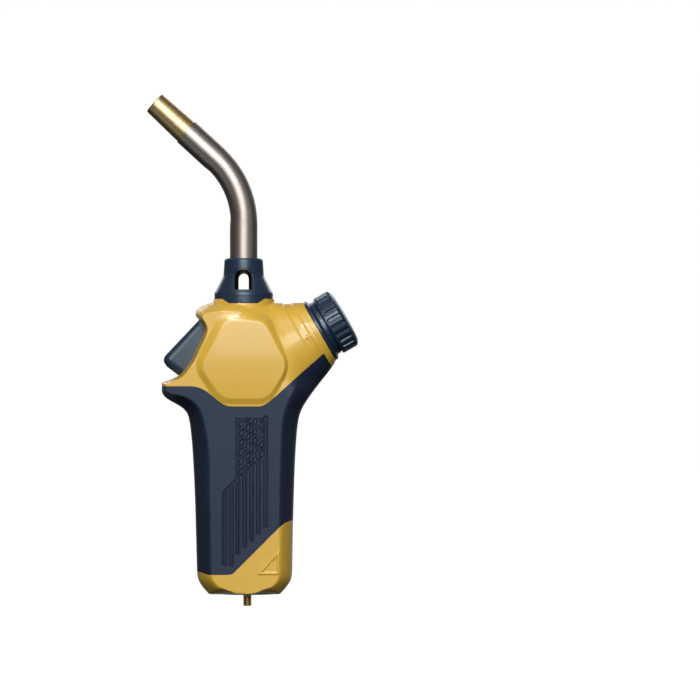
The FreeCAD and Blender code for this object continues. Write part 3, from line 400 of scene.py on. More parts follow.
# Vertical channels of the grip: x, foot z, head z, as seen on the parting plane.
CHANNELS = [
    (-10.1, 12.6, 44.2), (-7.1, 12.6, 47.0), (-4.15, 17.7, 49.7), (-1.15, 20.6, 52.3),
    (1.9, 23.5, 55.0), (4.95, 26.6, 57.6), (8.0, 29.6, 76.6),
]
CHANNEL_HALF = 0.62                     # from a channel's middle to its side grooves
GROOVE_DEPTH = 0.66
# Single grooves along the lattice's left side and its sloping foot: start x, z and end x, z.
GROOVES = [((-4.7, 50.0), (-4.7, 76.6)), ((-10.6, 44.1), (-4.7, 50.0))]
LATTICE_LEFT, LATTICE_RIGHT, LATTICE_FOOT, LATTICE_TOP = -4.05, 7.45, 50.05, 76.6
CELL_W, CELL_H, CELL_RISE = 2.95, 4.15, 0.85

# Finer mesh zones, first one wins: x from, x to, z from, z to, point spacing.
BASE_SPACING = 0.62
ZONES = [(-5.0, 8.9, 49.6, 77.4, 0.18), (-11.4, 9.4, 12.6, 77.6, 0.23),
         (3.4, 15.2, 8.4, 21.0, 0.24), (-24.6, 38.0, 81.8, 126.0, 0.42)]


def matched_outlines(step=0.45, corner_steps=6):
    """Dense rounded body outline and its point-for-point panel edge."""
    body = np.array([s[:2] for s in STATIONS])
    panel = []
    for _, _, x, z, *_ in STATIONS:
        true_x, true_z = at_depth(x, z)
        panel.append((true_x, true_z if z > FOOT_PANEL_Z else z))
    count = len(body)
    cuts = []                           # share of the side before and after each corner
    for i, station in enumerate(STATIONS):
        before = np.linalg.norm(body[i - 1] - body[i])
        after = np.linalg.norm(body[i] - body[(i + 1) % count])
        longest = station[4] if len(station) > 4 else LONGEST_CUT
        cut = min(longest, 0.49 * before, 0.49 * after)
        cuts.append((cut / before, cut / after))
    runs = []                           # steps along the straight part after each corner
    for i in range(count):
        j = (i + 1) % count
        side = np.linalg.norm(body[j] - body[i])
        runs.append(int(side * (1 - cuts[i][1] - cuts[j][0]) / step))

    def trace(corners, least_cut):
        out = []
        for i, corner in enumerate(corners):
            j = (i + 1) % count
            back, ahead = (max(cut, least_cut) for cut in cuts[i])
            start = corner + (corners[i - 1] - corner) * back
            end = corner + (corners[j] - corner) * ahead
            out += curve(start, corner, end, corner_steps)
            goal = corners[j] + (corner - corners[j]) * max(cuts[j][0], least_cut)
            out += [end + (goal - end) * k / runs[i] for k in range(1, runs[i])]
        return np.array(out)

    body, panel = trace(body, 0.0), trace(np.array(panel), 0.3)
    keep = np.linalg.norm(body - np.roll(body, 1, 0), axis=1) > 0.02
    return body[keep], panel[keep]


def smoothed_edge(reach=12):
    """Edge profile resampled finely and smoothed three times: shares, heights."""
    share = np.linspace(0, 1, 2001)
    height = np.interp(share, *np.array(EDGE_PROFILE).T)
    window = np.ones(2 * reach + 1) / (2 * reach + 1)
    for _ in range(3):
        head = 2 * height[0] - height[1:reach + 1][::-1]
        padded = np.concatenate([head, height, np.full(reach, height[-1])])
        height = np.convolve(padded, window, "valid")
        height[-1] = HALF_Y
    return share, height


EDGE_SHARE, EDGE_HEIGHT = smoothed_edge()


# -------------------------------------------------------- the moulded half: relief
def groove_depth(points):
    """Depth of the moulded texture on the grip panel."""
    points = seen_on_plane(points)
    x, z = points.T
    depth = np.zeros(len(points))

    def band(gap, half, soft):
        return 1 - ramp(gap, half - soft, half + soft)

    # channels: two side grooves, a shallow floor between them and a round dimple at the foot
    for middle, foot, head in CHANNELS:
        gap = distance(np.array([(middle, foot), (middle, head)]), points, closed=False)
        sides = GROOVE_DEPTH * band(np.abs(gap - CHANNEL_HALF), half=0.30, soft=0.12)
        bed = 0.14 * band(gap, half=CHANNEL_HALF, soft=0.2)
        dimple = 0.40 * band(np.hypot(x - middle, z - foot), half=0.60, soft=0.15)
        for cut in (sides, bed, dimple):
            depth = np.maximum(depth, cut)
    for groove in GROOVES:
        gap = distance(np.array(groove), points, closed=False)
        depth = np.maximum(depth, GROOVE_DEPTH * band(gap, half=0.33, soft=0.13))
    # lattice of sunk lozenges, each with a small island, between raised sloping bars
    column = (x - LATTICE_LEFT) / CELL_W
    row = (z - LATTICE_FOOT - (x - LATTICE_LEFT) * CELL_RISE) / CELL_H
    in_column, in_row = column - np.floor(column), row - np.floor(row)
    side_gap = np.minimum(in_column, 1 - in_column) * CELL_W - 0.32
    # 0.762 turns height between the sloping bars into distance across them
    bar_gap = np.minimum(in_row, 1 - in_row) * CELL_H * 0.762 - 0.30
    gap = np.minimum(side_gap, bar_gap)
    gap = np.minimum(gap, np.minimum(LATTICE_TOP - z, LATTICE_RIGHT + 0.1 - x))
    gap = np.where(x > LATTICE_LEFT, gap, -1)
    cell = 0.78 * ramp(gap, -0.06, 0.15) - 0.62 * ramp(gap, 0.38, 0.58)
    return np.maximum(depth, np.where(row > 0, cell, 0))


def raised_marks(points):
    """Heights of a plain triangle at the base and of a plus beside the knob."""
    triangle = soften([at_depth(*p) for p in [(4.0, 8.4), (14.0, 8.4), (14.0, 19.2)]], 0.7, 4)
    depth_in = signed(triangle, points)
    border = np.minimum(depth_in, 1.0 - depth_in)
    triangle_height = 0.34 * ramp(border, -0.16, 0.2) - 0.16 * ramp(depth_in, 0.95, 1.3)
    arm, half = 1.35, 0.34              # half length and half width of the plus's bars
    along, across = np.abs(knob_frame(*points.T, *at_depth(26.3, 112.0, 14.0)))
    outside = np.minimum(np.maximum(along - arm, across - half),
                         np.maximum(across - arm, along - half))
    return triangle_height, 0.30 * ramp(-outside, -0.1, 0.14)


def neck_form(x, z, body):
    """Barrel from the knob's ring into the body: its height, and its share in the surface."""
    u, v = knob_frame(x, z)
    body_u, body_v = knob_frame(*body.T)
    upper = (body_v > 8) & (body_u > -10.9) & (body_u < 0.1) & (body[:, 1] < 127.4)
    lower = (body_v < -8) & (body_u > -30) & (body_u < 0.1) & (body[:, 0] > 15)
    edges = []
    for part in (upper, lower):
        order = np.argsort(body_u[part])
        edges.append((body_u[part][order], np.abs(body_v[part][order])))
    # past the upper edge's end the barrel widens by this slope
    top = np.interp(u, *edges[0]) + 0.577 * np.clip(edges[0][0][0] - u, 0, None)
    bottom = np.interp(u, *edges[1])
    across = np.clip(np.abs(v) / np.where(v > 0, top, bottom), 0, 1)
    radius = 14.35 + 3.5 * ramp(-u, 2, 23)
    height = np.sqrt(radius * radius * (1 - across * across) + 2.2 ** 2)
    return height, ramp(u, -27, -12.5) * ramp(z, 84, 95)


def pad_height(points, height):
    """Height with the gently domed hexagonal pad laid over it."""
    x, z = points.T
    outer, inner = signed(PAD_OUTER, points), signed(PAD_INNER, points)
    slope = np.where(outer <= 0, 0.0, outer / np.maximum(outer - inner, 1e-6))
    slope = np.clip(np.where(inner >= 0, 1.0, slope), 0, 1)
    foot, rim = 0.22, 0.34              # shares of the slope rounded at its foot and rim
    lift = np.where(slope < foot, slope * slope / (2 * foot), slope - foot / 2)
    over = slope - 1 + rim
    top = 1 - rim - foot / 2 + over - over ** 2 / (2 * rim)
    lift = np.where(slope > 1 - rim, top, lift) / (1 - rim / 2 - foot / 2)
    dome = np.clip(1 - ((z - 102.0) / 18.5) ** 2, 0, 1)
    dome = dome * (1 - 0.45 * np.clip((x + 1.5) / 20.0, -1, 1) ** 2)
    mix = slope * slope * (3 - 2 * slope)
    pad = height * (1 - mix) + 17.9 * mix + (1.30 + 0.90 * dome) * lift
    return np.where(outer > 0, pad, height)


def surface(points, band, body):
    """Height above the parting plane; band is the share from outline (0) to panel (1)."""
    x, z = points.T
    height = np.interp(band, EDGE_SHARE, EDGE_HEIGHT)
    barrel, share = neck_form(x, z, body)
    height = height * (1 - share) + barrel * share
    # raised round seat under the collar
    seat = np.sqrt(np.clip(13.2 ** 2 - (x - BURNER_X) ** 2, 0, None))
    seat = seat - 7.0 * (1 - ramp(z, 118.0, 123.5))
    height = smooth_max(height, np.where(z > 117, seat, 0), blend=1.6)
    # slight crown across the side panel
    crown = np.clip(1 - ((x + 1.0) / 18.0) ** 2, 0, 1)
    height = height + 0.22 * crown * ramp(band, 0.9, 1.0)
    return pad_height(points, height)


def neck_lines(points, band):
    """Depth of a shallow belt round the neck and a fine line by its end."""
    u, _ = knob_frame(*points.T)
    belt = ramp(u, -8.25, -7.85) * (1 - ramp(u, -4.35, -3.95))
    belt = belt * ramp(band, 0.02, 0.1) * ramp(points[:, 1], 99, 103)
    line = np.exp(-((u + 2.5) / 0.22) ** 2) * ramp(band, 0.0, 0.05) * np.where(u > -5, 1, 0)
    return 0.28 * belt + 0.10 * line


# ---------------------------------------------------------- the moulded half: mesh
def triangle_grid(x0, x1, z0, z1, spacing):
    rows = enumerate(np.arange(z0, z1, spacing * 0.866))
    columns = np.arange(x0, x1, spacing)
    return np.array([(x + (spacing / 2 if j % 2 else 0), z) for j, z in rows for x in columns])


def in_zone(points, zone):
    x, z = points.T
    return (x > zone[0]) & (x < zone[1]) & (z > zone[2]) & (z < zone[3])


def panel_points(panel):
    """Points inside the side panel: graded grids, and rings that follow the pad's slope."""
    low, high = panel.min(0), panel.max(0)
    base = triangle_grid(low[0], high[0], low[1], high[1], BASE_SPACING)
    grids = [base]
    for k, zone in enumerate(ZONES):
        grid = triangle_grid(*zone)
        for earlier in ZONES[:k]:
            grid = grid[~in_zone(grid, earlier)]
        grids.append(grid)
        grids[0] = grids[0][~in_zone(grids[0], zone)]
    grid = np.concatenate(grids)

    def resample(outline, count=260):
        sides = np.linalg.norm(np.roll(outline, -1, 0) - outline, axis=1)
        run = np.concatenate([[0], np.cumsum(sides)])
        wanted = np.linspace(0, 1, count, endpoint=False) * run[-1]
        closed = np.vstack([outline, outline[:1]])
        return np.c_[np.interp(wanted, run, closed[:, 0]), np.interp(wanted, run, closed[:, 1])]

    outer, inner = resample(PAD_OUTER), resample(PAD_INNER)
    rings = np.concatenate([outer * (1 - f) + inner * f for f in PAD_LEVELS])
    rings = rings[inside(panel, rings)]
    gap = np.concatenate([np.sqrt(((block[:, None] - rings) ** 2).sum(2).min(1))
                          for block in np.array_split(grid, 100)])
    grid = grid[gap > 0.26]
    grid = grid[signed(panel[::2], grid) > 0.22]
    return np.concatenate([grid, rings])


def build_half():
    """The +Y half as one closed solid."""
    body, panel = matched_outlines()
    count = len(body)
    rings = [body + (panel - body) * level for level in BAND_LEVELS]
    fill = panel_points(rings[-1])
    points = np.concatenate(rings + [fill])
    bands = np.concatenate([np.repeat(BAND_LEVELS, count), np.ones(len(fill))])
    edges = [(i, (i + 1) % count) for i in range(count)]
    result = delaunay_2d_cdt([Vector(p) for p in points], edges, [list(range(count))], 1, 1e-5)
    source = np.array([s[0] if len(s) else -1 for s in result[3]])
    flat = np.array([(v.x, v.y) for v in result[0]])
    band = np.where(source >= 0, bands[np.clip(source, 0, None)], 0.0)
    height = surface(flat, band, body) - neck_lines(flat, band)
    on_panel = ramp(band, 0.95, 1.0)
    triangle, plus = raised_marks(flat)
    height = height - groove_depth(flat) * on_panel + triangle * on_panel + plus
    # a wall down from the outline to a flat back just off the parting plane
    place = {int(s): i for i, s in enumerate(source) if s >= 0}
    back = len(flat)
    verts = [(p[0], y, p[1]) for p, y in zip(flat, height)]
    verts += [(p[0], 0.03, p[1]) for p in body]
    faces = [list(f) for f in result[2]]
    faces += [[place[i], place[j], back + j, back + i] for i, j in edges]
    faces += [[back + i for i in t[::-1]] for t in cap([tuple(p) for p in body])]
    return make("half", verts, faces, angle=40)


# Hollow inside the half: x, z at its mouth and x, z at its floor.
CAVITY = [
    (-18.6, 9.5, -14.6, 9.5), (-19.1, 30.0, -15.0, 30.0), (-19.8, 50.0, -15.8, 50.0),
    (-21.0, 68.0, -17.0, 68.0), (-21.9, 77.0, -17.9, 77.0), (-24.6, 82.6, -19.0, 83.0),
    (-29.5, 86.6, -20.5, 87.5), (-29.5, 91.0, -21.5, 90.5), (-24.0, 97.5, -19.5, 97.5),
    (-20.6, 105.0, -16.5, 105.0), (-17.2, 111.5, -14.0, 111.5), (-15.9, 115.5, -13.2, 115.0),
    (-17.6, 121.0, -13.0, 118.5), (-14.0, 124.2, -11.0, 120.0), (16.5, 122.4, 5.5, 115.2),
    (33.3, 99.6, 20.0, 99.0), (28.6, 93.2, 17.0, 92.0), (23.4, 86.2, 14.2, 85.5),
    (19.6, 78.4, 12.6, 78.4), (18.2, 67.0, 11.8, 67.0), (17.3, 50.0, 11.2, 50.0),
    (16.6, 20.0, 10.8, 20.0), (16.3, 9.5, 10.6, 9.5),
]
# Opening for the trigger.
SLOT = [(-45.0, 119.8), (-45.0, 104.0), (-37.6, 100.7), (-34.3, 97.4), (-30.6, 94.8),
        (-26.5, 92.9), (-22.0, 91.7), (-17.5, 91.3), (-13.0, 91.7), (-10.2, 92.3), (-9.4, 98.0),
        (-13.0, 113.5), (-13.2, 119.0), (-15.0, 121.5), (-19.5, 121.5), (-21.6, 119.8)]
# Notch in the top rim round the collar's tab.
NOTCH = symmetric([(6.55, 126.7), (9.35, 128.75), (9.35, 134.0)])
SCREWS = [(-15.6, 20.0), (14.0, 20.0), (4.0, 57.0), (9.0, 118.0), (20.0, 89.0)]
SCREW_HOLE_RADIUS, SCREW_HOLE_START_Y = 2.75, 10.9


def hollow(half):
    mouth = [row[:2] for row in CAVITY]
    floor = [row[2:] for row in CAVITY]
    up, knob_axis, back = (0, 0, 1), (KNOB_COS, 0, KNOB_SIN), 9
    knob_start = (KNOB_X - back * KNOB_COS, 0, KNOB_Z - back * KNOB_SIN)
    carve(half,
          loft([(mouth, -1.0), (mouth, 7.6), (floor, 14.4)]),
          prism(SLOT, -1.0, 8.3),
          # foot bore and the wider groove above it
          rod((0, 0, -1), up, radius=13.62, length=13.0, seg=128),
          rod((0, 0, 9.5), up, radius=15.3, length=4.0, seg=128),
          # burner bore and the groove for the collar's foot
          rod((BURNER_X, 0, 122.0), up, radius=9.6, length=9.0, seg=96),
          rod((BURNER_X, 0, 122.1), up, radius=11.15, length=2.1, seg=96),
          rod(knob_start, knob_axis, radius=6.55, length=12.0, seg=96),
          prism(NOTCH, 7.8, 15.6))


def grip_outline(gap):
    """The grip region grown by gap."""
    corners = []
    for x, z, _ in GRIP:
        if abs(x) < 60:
            side = 14.0 if abs(x) < 30 else 5.0
            x, z = at_depth(x, z, HALF_Y if -16.5 < x < 20 and z < 84 else side)
        corners.append((x, z))
    outline = soften(corners, [row[2] for row in GRIP])
    x, z = outline.T
    run = np.roll(outline, -1, 0) - np.roll(outline, 1, 0)
    length = np.maximum(np.linalg.norm(run, axis=1), 1e-9)
    normal = np.c_[run[:, 1], -run[:, 0]] / length[:, None]
    area = 0.5 * np.sum(x * np.roll(z, -1) - np.roll(x, -1) * z)
    outward = -normal if area < 0 else normal
    return [tuple(p) for p in outline + outward * gap]


def split(shell, side, low, high):
    """Parts a half into its shell and its grip panel, between two Y values."""
    grip = copy_of(shell, "grip_" + side)
    combine(grip, prism(grip_outline(-0.02), low, high), "INTERSECT")
    carve(shell, prism(grip_outline(0.0), low, high))
    shell.name = "shell_" + side
    shade(grip, 38)
    shade(shell, 38)
    return shell, grip


far_half = build_half()
hollow(far_half)
near_half = mirrored(far_half, "near_half")
# screw holes are open on the far side only
carve(far_half, *[rod((x, SCREW_HOLE_START_Y, z), (0, 1, 0), SCREW_HOLE_RADIUS, 14.0, 48)
                  for x, z in SCREWS])
shell_far, grip_far = split(far_half, "far", -1.0, 40.0)
shell_near, grip_near = split(near_half, "near", -40.0, 1.0)


# ------------------------------------------------------------- air collar
# Outer face of the collar: radius, z.
COLLAR_TOP = 146.4
COLLAR_OUTER = [(12.75, 128.6), (12.8, 131.1), (8.8, 138.8), (8.4, 145.7), (7.75, COLLAR_TOP)]


def window_outline(half=3.7, foot=132.7, top=141.4, steps=30):
    """Opening with a square foot and a round head."""
    points = [(BURNER_X - half, foot), (BURNER_X + half, foot)]
    for i in range(steps + 1):
        a = math.pi * i / steps
        points.append((BURNER_X + half * math.cos(a), top - half + half * math.sin(a)))
    return points


def build_collar():
    foot = [(7.5, 122.2), (11.1, 122.2), (11.1, 124.1), (9.5, 124.1), (9.5, 128.6)]
    bore = [(6.03, COLLAR_TOP), (6.03, 140.2), (7.5, 139.6)]
    section = rounded(foot + COLLAR_OUTER + bore,
                      [0, .2, .2, 0, 0, .35, .7, 1.0, .45, .35, .1, 0, 0], 6)
    collar = lathe("collar", dense(section, 0.8), 192, AT_BURNER)
    # a tab below the outer face on the near and far sides, cut from a ring
    ring = lathe("tab_ring", [(9.8, 125.0), (12.8, 125.0), (12.8, 129.4), (9.8, 129.4)], 192,
                 AT_BURNER)
    tab = soften(symmetric([(6.35, 126.85), (9.1, 128.9), (9.1, 130.2)]),
                 [0.6, 0.6, 0.5, 0, 0, 0.5], 4)
    tabs = prism(tab, -14.0, -8.0)
    combine(tabs, prism(tab, 8.0, 14.0), "UNION")
    combine(ring, tabs, "INTERSECT")
    combine(collar, ring, "UNION")
    carve(collar, prism(window_outline(), -14.0, 14.0))
    # shallow pocket round each window, of constant depth below the outer face
    depth = 0.50
    pocket = prism([tuple(p) for p in soften(
        symmetric([(5.0, 131.35), (4.1, 140.0), (2.6, 142.0)]),
        [1.5, 1.5, 1.6, 1.6, 1.6, 1.6])], -16.0, 16.0)
    core = [(r - depth, z) for r, z in COLLAR_OUTER]
    core = [(0, 120.0), (core[0][0], 120.0)] + core + [(0, COLLAR_TOP)]
    carve(pocket, lathe("core", core, 192, AT_BURNER))
    carve(collar, pocket)
    shade(collar, 30)
    return collar


# ------------------------------------------------------ flow knob and flange
FLUTES = 24
KNOB_RADIUS = 13.5


def fluted(radius, height, turn):
    """Radius with closed-end grip slots round the knob."""
    if radius < 11.0 or height < 5.0 or height > 12.4:
        return radius
    low, high, end = 5.35, 11.75, 0.95  # slot ends and the length of their rounding
    half, soft, depth = 1.12, 0.36, 0.80
    pitch = 2 * math.pi * KNOB_RADIUS / FLUTES
    across = abs((turn * FLUTES / (2 * math.pi)) % 1.0 - 0.5) * pitch
    along = max(low + end - height, height - (high - end), 0.0)
    gap = math.hypot(across, along) if along > 0 else across
    t = min(max((half - gap) / soft, 0.0), 1.0)
    return radius - depth * t * t * (3 - 2 * t)


def build_knob():
    skirt = [(2.12, 4.75), (12.35, 4.75), (12.35, 4.4), (12.7, 4.3), (13.1, 4.36), (13.38, 4.55),
             (KNOB_RADIUS, 4.82)]
    side = [(KNOB_RADIUS, 4.3 + 0.2 * i) for i in range(4, 34)]
    edge = [(13.47, 11.2), (13.38, 11.4), (13.24, 11.6), (13.06, 11.8), (12.84, 12.0),
            (12.56, 12.2), (12.2, 12.4), (11.8, 12.56)]
    dome = [(11.8 * math.cos(a), 12.56 + 0.94 * math.sin(a))
            for a in np.linspace(0.12, math.pi / 2, 12)[:-1]]
    bore = [(0, 13.5), (0, 11.8), (2.12, 11.8)]
    return lathe("knob", skirt + side + edge + dome + bore, FLUTES * 16, AT_KNOB,
                 radial=fluted, angle=38)


def build_flange():
    section = rounded([(3.0, -5.6), (6.5, -5.6), (6.5, 0.0), (14.4, 0.0), (14.4, 1.25),
                       (12.6, 2.25), (12.6, 3.9), (12.25, 3.98), (12.2, 4.62), (3.0, 4.62)],
                      [0, .2, 0, .12, .3, .45, .35, .1, .05, 0], 5)
    return lathe("flange", section, 192, AT_KNOB)


# ------------------------------------------------------------------- trigger
# Outline, anticlockwise seen from -Y: x, z, corner radius, share of the edge inset taken.
TRIGGER = [
    (-20.4, 120.1, 0.5, 1.0), (-35.9, 103.7, 1.4, 1.15), (-36.4, 101.6, 1.2, 1.3),
    (-35.2, 99.4, 1.4, 1.5), (-29.8, 95.3, 0.4, 1.6), (-26.2, 94.2, 1.0, 0.9),
    (-19.6, 92.8, 0.5, 0), (-17.5, 93.6, 0.3, 0), (-17.5, 104.5, 0.5, 0),
    (-15.5, 113.5, 0.5, 0), (-14.1, 117.5, 0.5, 0),
]


def trigger_outline(inset):
    """Rounded outline with its finger side drawn inwards by inset."""
    points = np.array([row[:2] for row in TRIGGER])
    out = []
    for i, corner in enumerate(points):
        before, after = corner - points[i - 1], points[(i + 1) % len(points)] - corner
        before, after = before / np.linalg.norm(before), after / np.linalg.norm(after)
        inward0, inward1 = np.array([-before[1], before[0]]), np.array([-after[1], after[0]])
        if i == 0:
            move = inward1 * inset + after * 0.25 * inset
        else:
            middle = inward0 + inward1
            move = middle / max(middle @ inward0, 0.3) * inset
        out.append(corner + move * TRIGGER[i][3])
    return [tuple(p) for p in soften(out, [row[2] for row in TRIGGER], 7)]


def build_trigger():
    edge, steps = 2.5, 8                # rounding of the side edges
    sections = []
    for k in range(steps + 1):
        a = math.pi / 2 * k / steps
        y = -TRIGGER_HALF_Y + edge * (1 - math.cos(a)) * 0.96
        sections.append((trigger_outline(edge * (1 - math.sin(a))), y))
    sections += [(outline, -y) for outline, y in sections[::-1]]
    trigger = loft(sections, "trigger_shape")
    boss = rod((PIVOT_X, -TRIGGER_HALF_Y, PIVOT_Z), (0, 1, 0), 3.5, 2 * TRIGGER_HALF_Y)
    combine(trigger, boss, "UNION")
    lug = prism([(-19.6, 92.8), (-16.2, 92.8), (-16.2, 97.6), (-19.6, 97.6)], 5.6, 13.0)
    combine(trigger, lug, "UNION")
    # inner hollow, pivot hole and the round recess in the +X face
    carve(trigger,
          prism([(-20.0, 106.5), (-24.5, 110.5), (-32.6, 101.8), (-30.0, 99.0),
                 (-22.0, 96.8), (-20.0, 98.0)], -5.6, 5.6),
          rod((PIVOT_X, -10.0, PIVOT_Z), (0, 1, 0), radius=1.56, length=20.0, seg=48),
          rod((-18.75, 0.0, 100.8), (1, 0, 0), radius=3.9, length=3.0, seg=48))
    shade(trigger, 35)
    return trigger


def build_pivot():
    """Stepped pin: full size in the trigger, slimmer where it sits in the two walls."""
    half, step, thick, thin = 12.0, 8.25, 1.5, 0.8
    section = [(0, -half), (thin, -half), (thin, -step), (thick, -step),
               (thick, step), (thin, step), (thin, half), (0, half)]
    along_y = Matrix.Rotation(math.radians(-90), 4, "X")
    return lathe("pivot", section, 48, Matrix.Translation((PIVOT_X, 0, PIVOT_Z)) @ along_y)


# ----------------------------------------------------------- burn tube and tip
BEND_END_X = BURNER_X - BEND_RADIUS * (1 - math.cos(BEND))
BEND_END_Z = BEND_START_Z + BEND_RADIUS * math.sin(BEND)


def tube_spine():
    """Stations (x, z, angle turned) along the tube's centre line."""
    out = [(BURNER_X, z, 0.0) for z in np.arange(TUBE_FOOT_Z, BEND_START_Z, 0.8)]
    for i in range(41):
        a = BEND * i / 40
        out.append((BURNER_X - BEND_RADIUS * (1 - math.cos(a)),
                    BEND_START_Z + BEND_RADIUS * math.sin(a), a))
    length = math.hypot(TIP_X - BEND_END_X, TIP_Z - BEND_END_Z)
    for run in np.linspace(0, length, 24)[1:]:
        out.append((BEND_END_X - math.sin(BEND) * run, BEND_END_Z + math.cos(BEND) * run, BEND))
    return out


def build_tube(seg=128):
    """Tube with slightly flattened walls and faint pinches at the ends of the bend."""
    spine = tube_spine()
    runs = [0.0]
    for (x0, z0, _), (x1, z1, _) in zip(spine, spine[1:]):
        runs.append(runs[-1] + math.hypot(x1 - x0, z1 - z0))
    start = BEND_START_Z - TUBE_FOOT_Z
    end = start + BEND_RADIUS * BEND

    def wall(radius):
        rings = []
        for (x, z, a), run in zip(spine, runs):
            bent = ramp(run, start - 2.2, start + 3.6) * (1 - ramp(run, end - 3.6, end + 2.2))
            pinch = (math.exp(-((run - start + 1.4) / 2.2) ** 2)
                     + math.exp(-((run - end - 1.2) / 2.2) ** 2))
            ring = []
            for i in range(seg):
                turn = 2 * math.pi * i / seg
                side, depth = math.cos(turn), math.sin(turn)    # side = 1: outside of the bend
                r = radius + (-0.30 * bent + 0.03 * pinch) * max(-side, 0.0) ** 2
                r += -0.10 * bent * max(side, 0.0) ** 2 + 0.048 * bent * depth * depth
                ring.append((x + math.cos(a) * r * side, r * depth, z + math.sin(a) * r * side))
            rings.append(ring)
        return rings

    rings = wall(6.0) + wall(5.3)[::-1]
    faces = []
    for k in range(len(rings)):
        faces += strip(k * seg, (k + 1) % len(rings) * seg, seg)
    return make("tube", [p for ring in rings for p in ring], faces, angle=40)


def build_tip():
    section = rounded([(4.2, -8.0), (5.28, -8.0), (5.28, 0.0), (5.62, 0.0), (5.5, 4.0),
                       (5.08, 18.3), (4.8, 18.9), (4.5, 18.9), (4.2, 17.9)],
                      [0, .15, 0, .14, 1.5, .4, .2, .2, .3], 5)
    return lathe("tip", dense(section, 1.0), 160, AT_TIP)


# --------------------------------------------------- gas inlet: pin and thread
def build_inlet_pin():
    pitch, outer, root = 0.8, 1.84, 1.5
    section = [(0.0, -5.2), (1.25, -5.2), (1.62, -5.0)]
    for z in np.arange(-4.85, 0.2, pitch):
        section += [(outer, z), (outer, z + 0.34), (root, z + 0.5), (root, z + 0.62)]
    section += [(outer, z + pitch + 0.1), (outer, 5.6), (3.0, 6.4), (3.0, 14.0), (0.9, 14.0),
                (0.9, 7.6), (0.0, 7.6)]
    return lathe("pin", section, 64)


def build_fitting():
    """Inlet ring with grooves at thread pitch up its bore."""
    pitch, crest, root = 1.27, 12.12, 12.72
    section = [(12.45, 0.2), (13.6, 0.2), (13.6, 9.5), (15.2, 9.5), (15.2, 12.6), (12.4, 14.2),
               (6.4, 14.2), (6.4, 14.02), (3.02, 14.02), (3.02, 11.0), (12.1, 11.0)]
    for z in np.arange(10.6, 0.8, -pitch):
        section += [(crest, z), (crest, z - 0.16), (root, z - 0.6), (root, z - 0.68)]
    return lathe("fitting", section, 160, angle=20)


collar = build_collar()
knob = build_knob()
flange = build_flange()
trigger = build_trigger()
pivot = build_pivot()
tube = build_tube()
tip = build_tip()
inlet_pin = build_inlet_pin()
fitting = build_fitting()


# ------------------------------------------------------------------ materials
MATERIALS = {}


def srgb(*channels):
    """sRGB 0-255 to a linear colour with alpha."""
    shares = [c / 255.0 for c in channels]
    return (*(c / 12.92 if c <= 0.04045 else ((c + 0.055) / 1.055) ** 2.4 for c in shares), 1.0)


class Nodes:
    """Small helper round a node tree."""

    def __init__(self, tree):
        self.tree = tree

    def add(self, kind, **settings):
        node = self.tree.nodes.new(kind)
        for key, value in settings.items():
            setattr(node, key, value)
        return node

    def link(self, output, socket):
        self.tree.links.new(output, socket)

    def feed(self, socket, value):
        """Sets a socket to a number or links an output to it."""
        if isinstance(value, (int, float)):
            socket.default_value = value
        else:
            self.link(value, socket)

    def math(self, operation, *values):
        node = self.add("ShaderNodeMath", operation=operation)
        for socket, value in zip(node.inputs, values):
            self.feed(socket, value)
        return node.outputs[0]

    def vector(self, x=0.0, y=0.0, z=0.0):
        node = self.add("ShaderNodeCombineXYZ")
        for socket, value in zip(node.inputs, (x, y, z)):
            self.feed(socket, value)
        return node.outputs[0]

    def split(self, vector):
        node = self.add("ShaderNodeSeparateXYZ")
        self.link(vector, node.inputs[0])
        return node.outputs

    def remap(self, value, source, target, **settings):
        """Maps the source (low, high) range to the target one."""
        node = self.add("ShaderNodeMapRange", **settings)
        for i, limit in enumerate((*source, *target)):
            node.inputs[i + 1].default_value = limit
        self.link(value, node.inputs[0])
        return node.outputs[0]

    def noise(self, vector, scale, detail, roughness=0.5):
        node = self.add("ShaderNodeTexNoise")
        node.inputs["Scale"].default_value = scale
        node.inputs["Detail"].default_value = detail
        node.inputs["Roughness"].default_value = roughness
        self.link(vector, node.inputs["Vector"])
        return node.outputs["Fac"]


class Surface(Nodes):
    """A new material and its Principled shader."""

    def __init__(self, name):
        self.material = bpy.data.materials.new(name)
        self.material.use_nodes = True
        super().__init__(self.material.node_tree)
        self.shader = self.tree.nodes["Principled BSDF"]
        MATERIALS[name] = self.material

    def put(self, **values):
        for key, value in values.items():
            self.shader.inputs[key.replace("_", " ")].default_value = value

    def drive(self, socket, output):
        self.link(output, self.shader.inputs[socket])

    def coords(self):
        return self.add("ShaderNodeTexCoord").outputs["Object"]

    def color(self, color, value):
        """Base colour whose brightness follows value."""
        node = self.add("ShaderNodeHueSaturation")
        node.inputs["Color"].default_value = color
        self.link(value, node.inputs["Value"])
        self.drive("Base Color", node.outputs[0])

    def bump(self, height, strength, distance, normal=None):
        """Bump with its distance in mm."""
        node = self.add("ShaderNodeBump")
        node.inputs["Strength"].default_value = strength
        node.inputs["Distance"].default_value = distance * MM
        self.link(height, node.inputs["Height"])
        if normal is not None:
            self.link(normal, node.inputs["Normal"])
        self.drive("Normal", node.outputs[0])


MIDDLE = (0.3, 0.7)                     # the part of a noise's range that is used


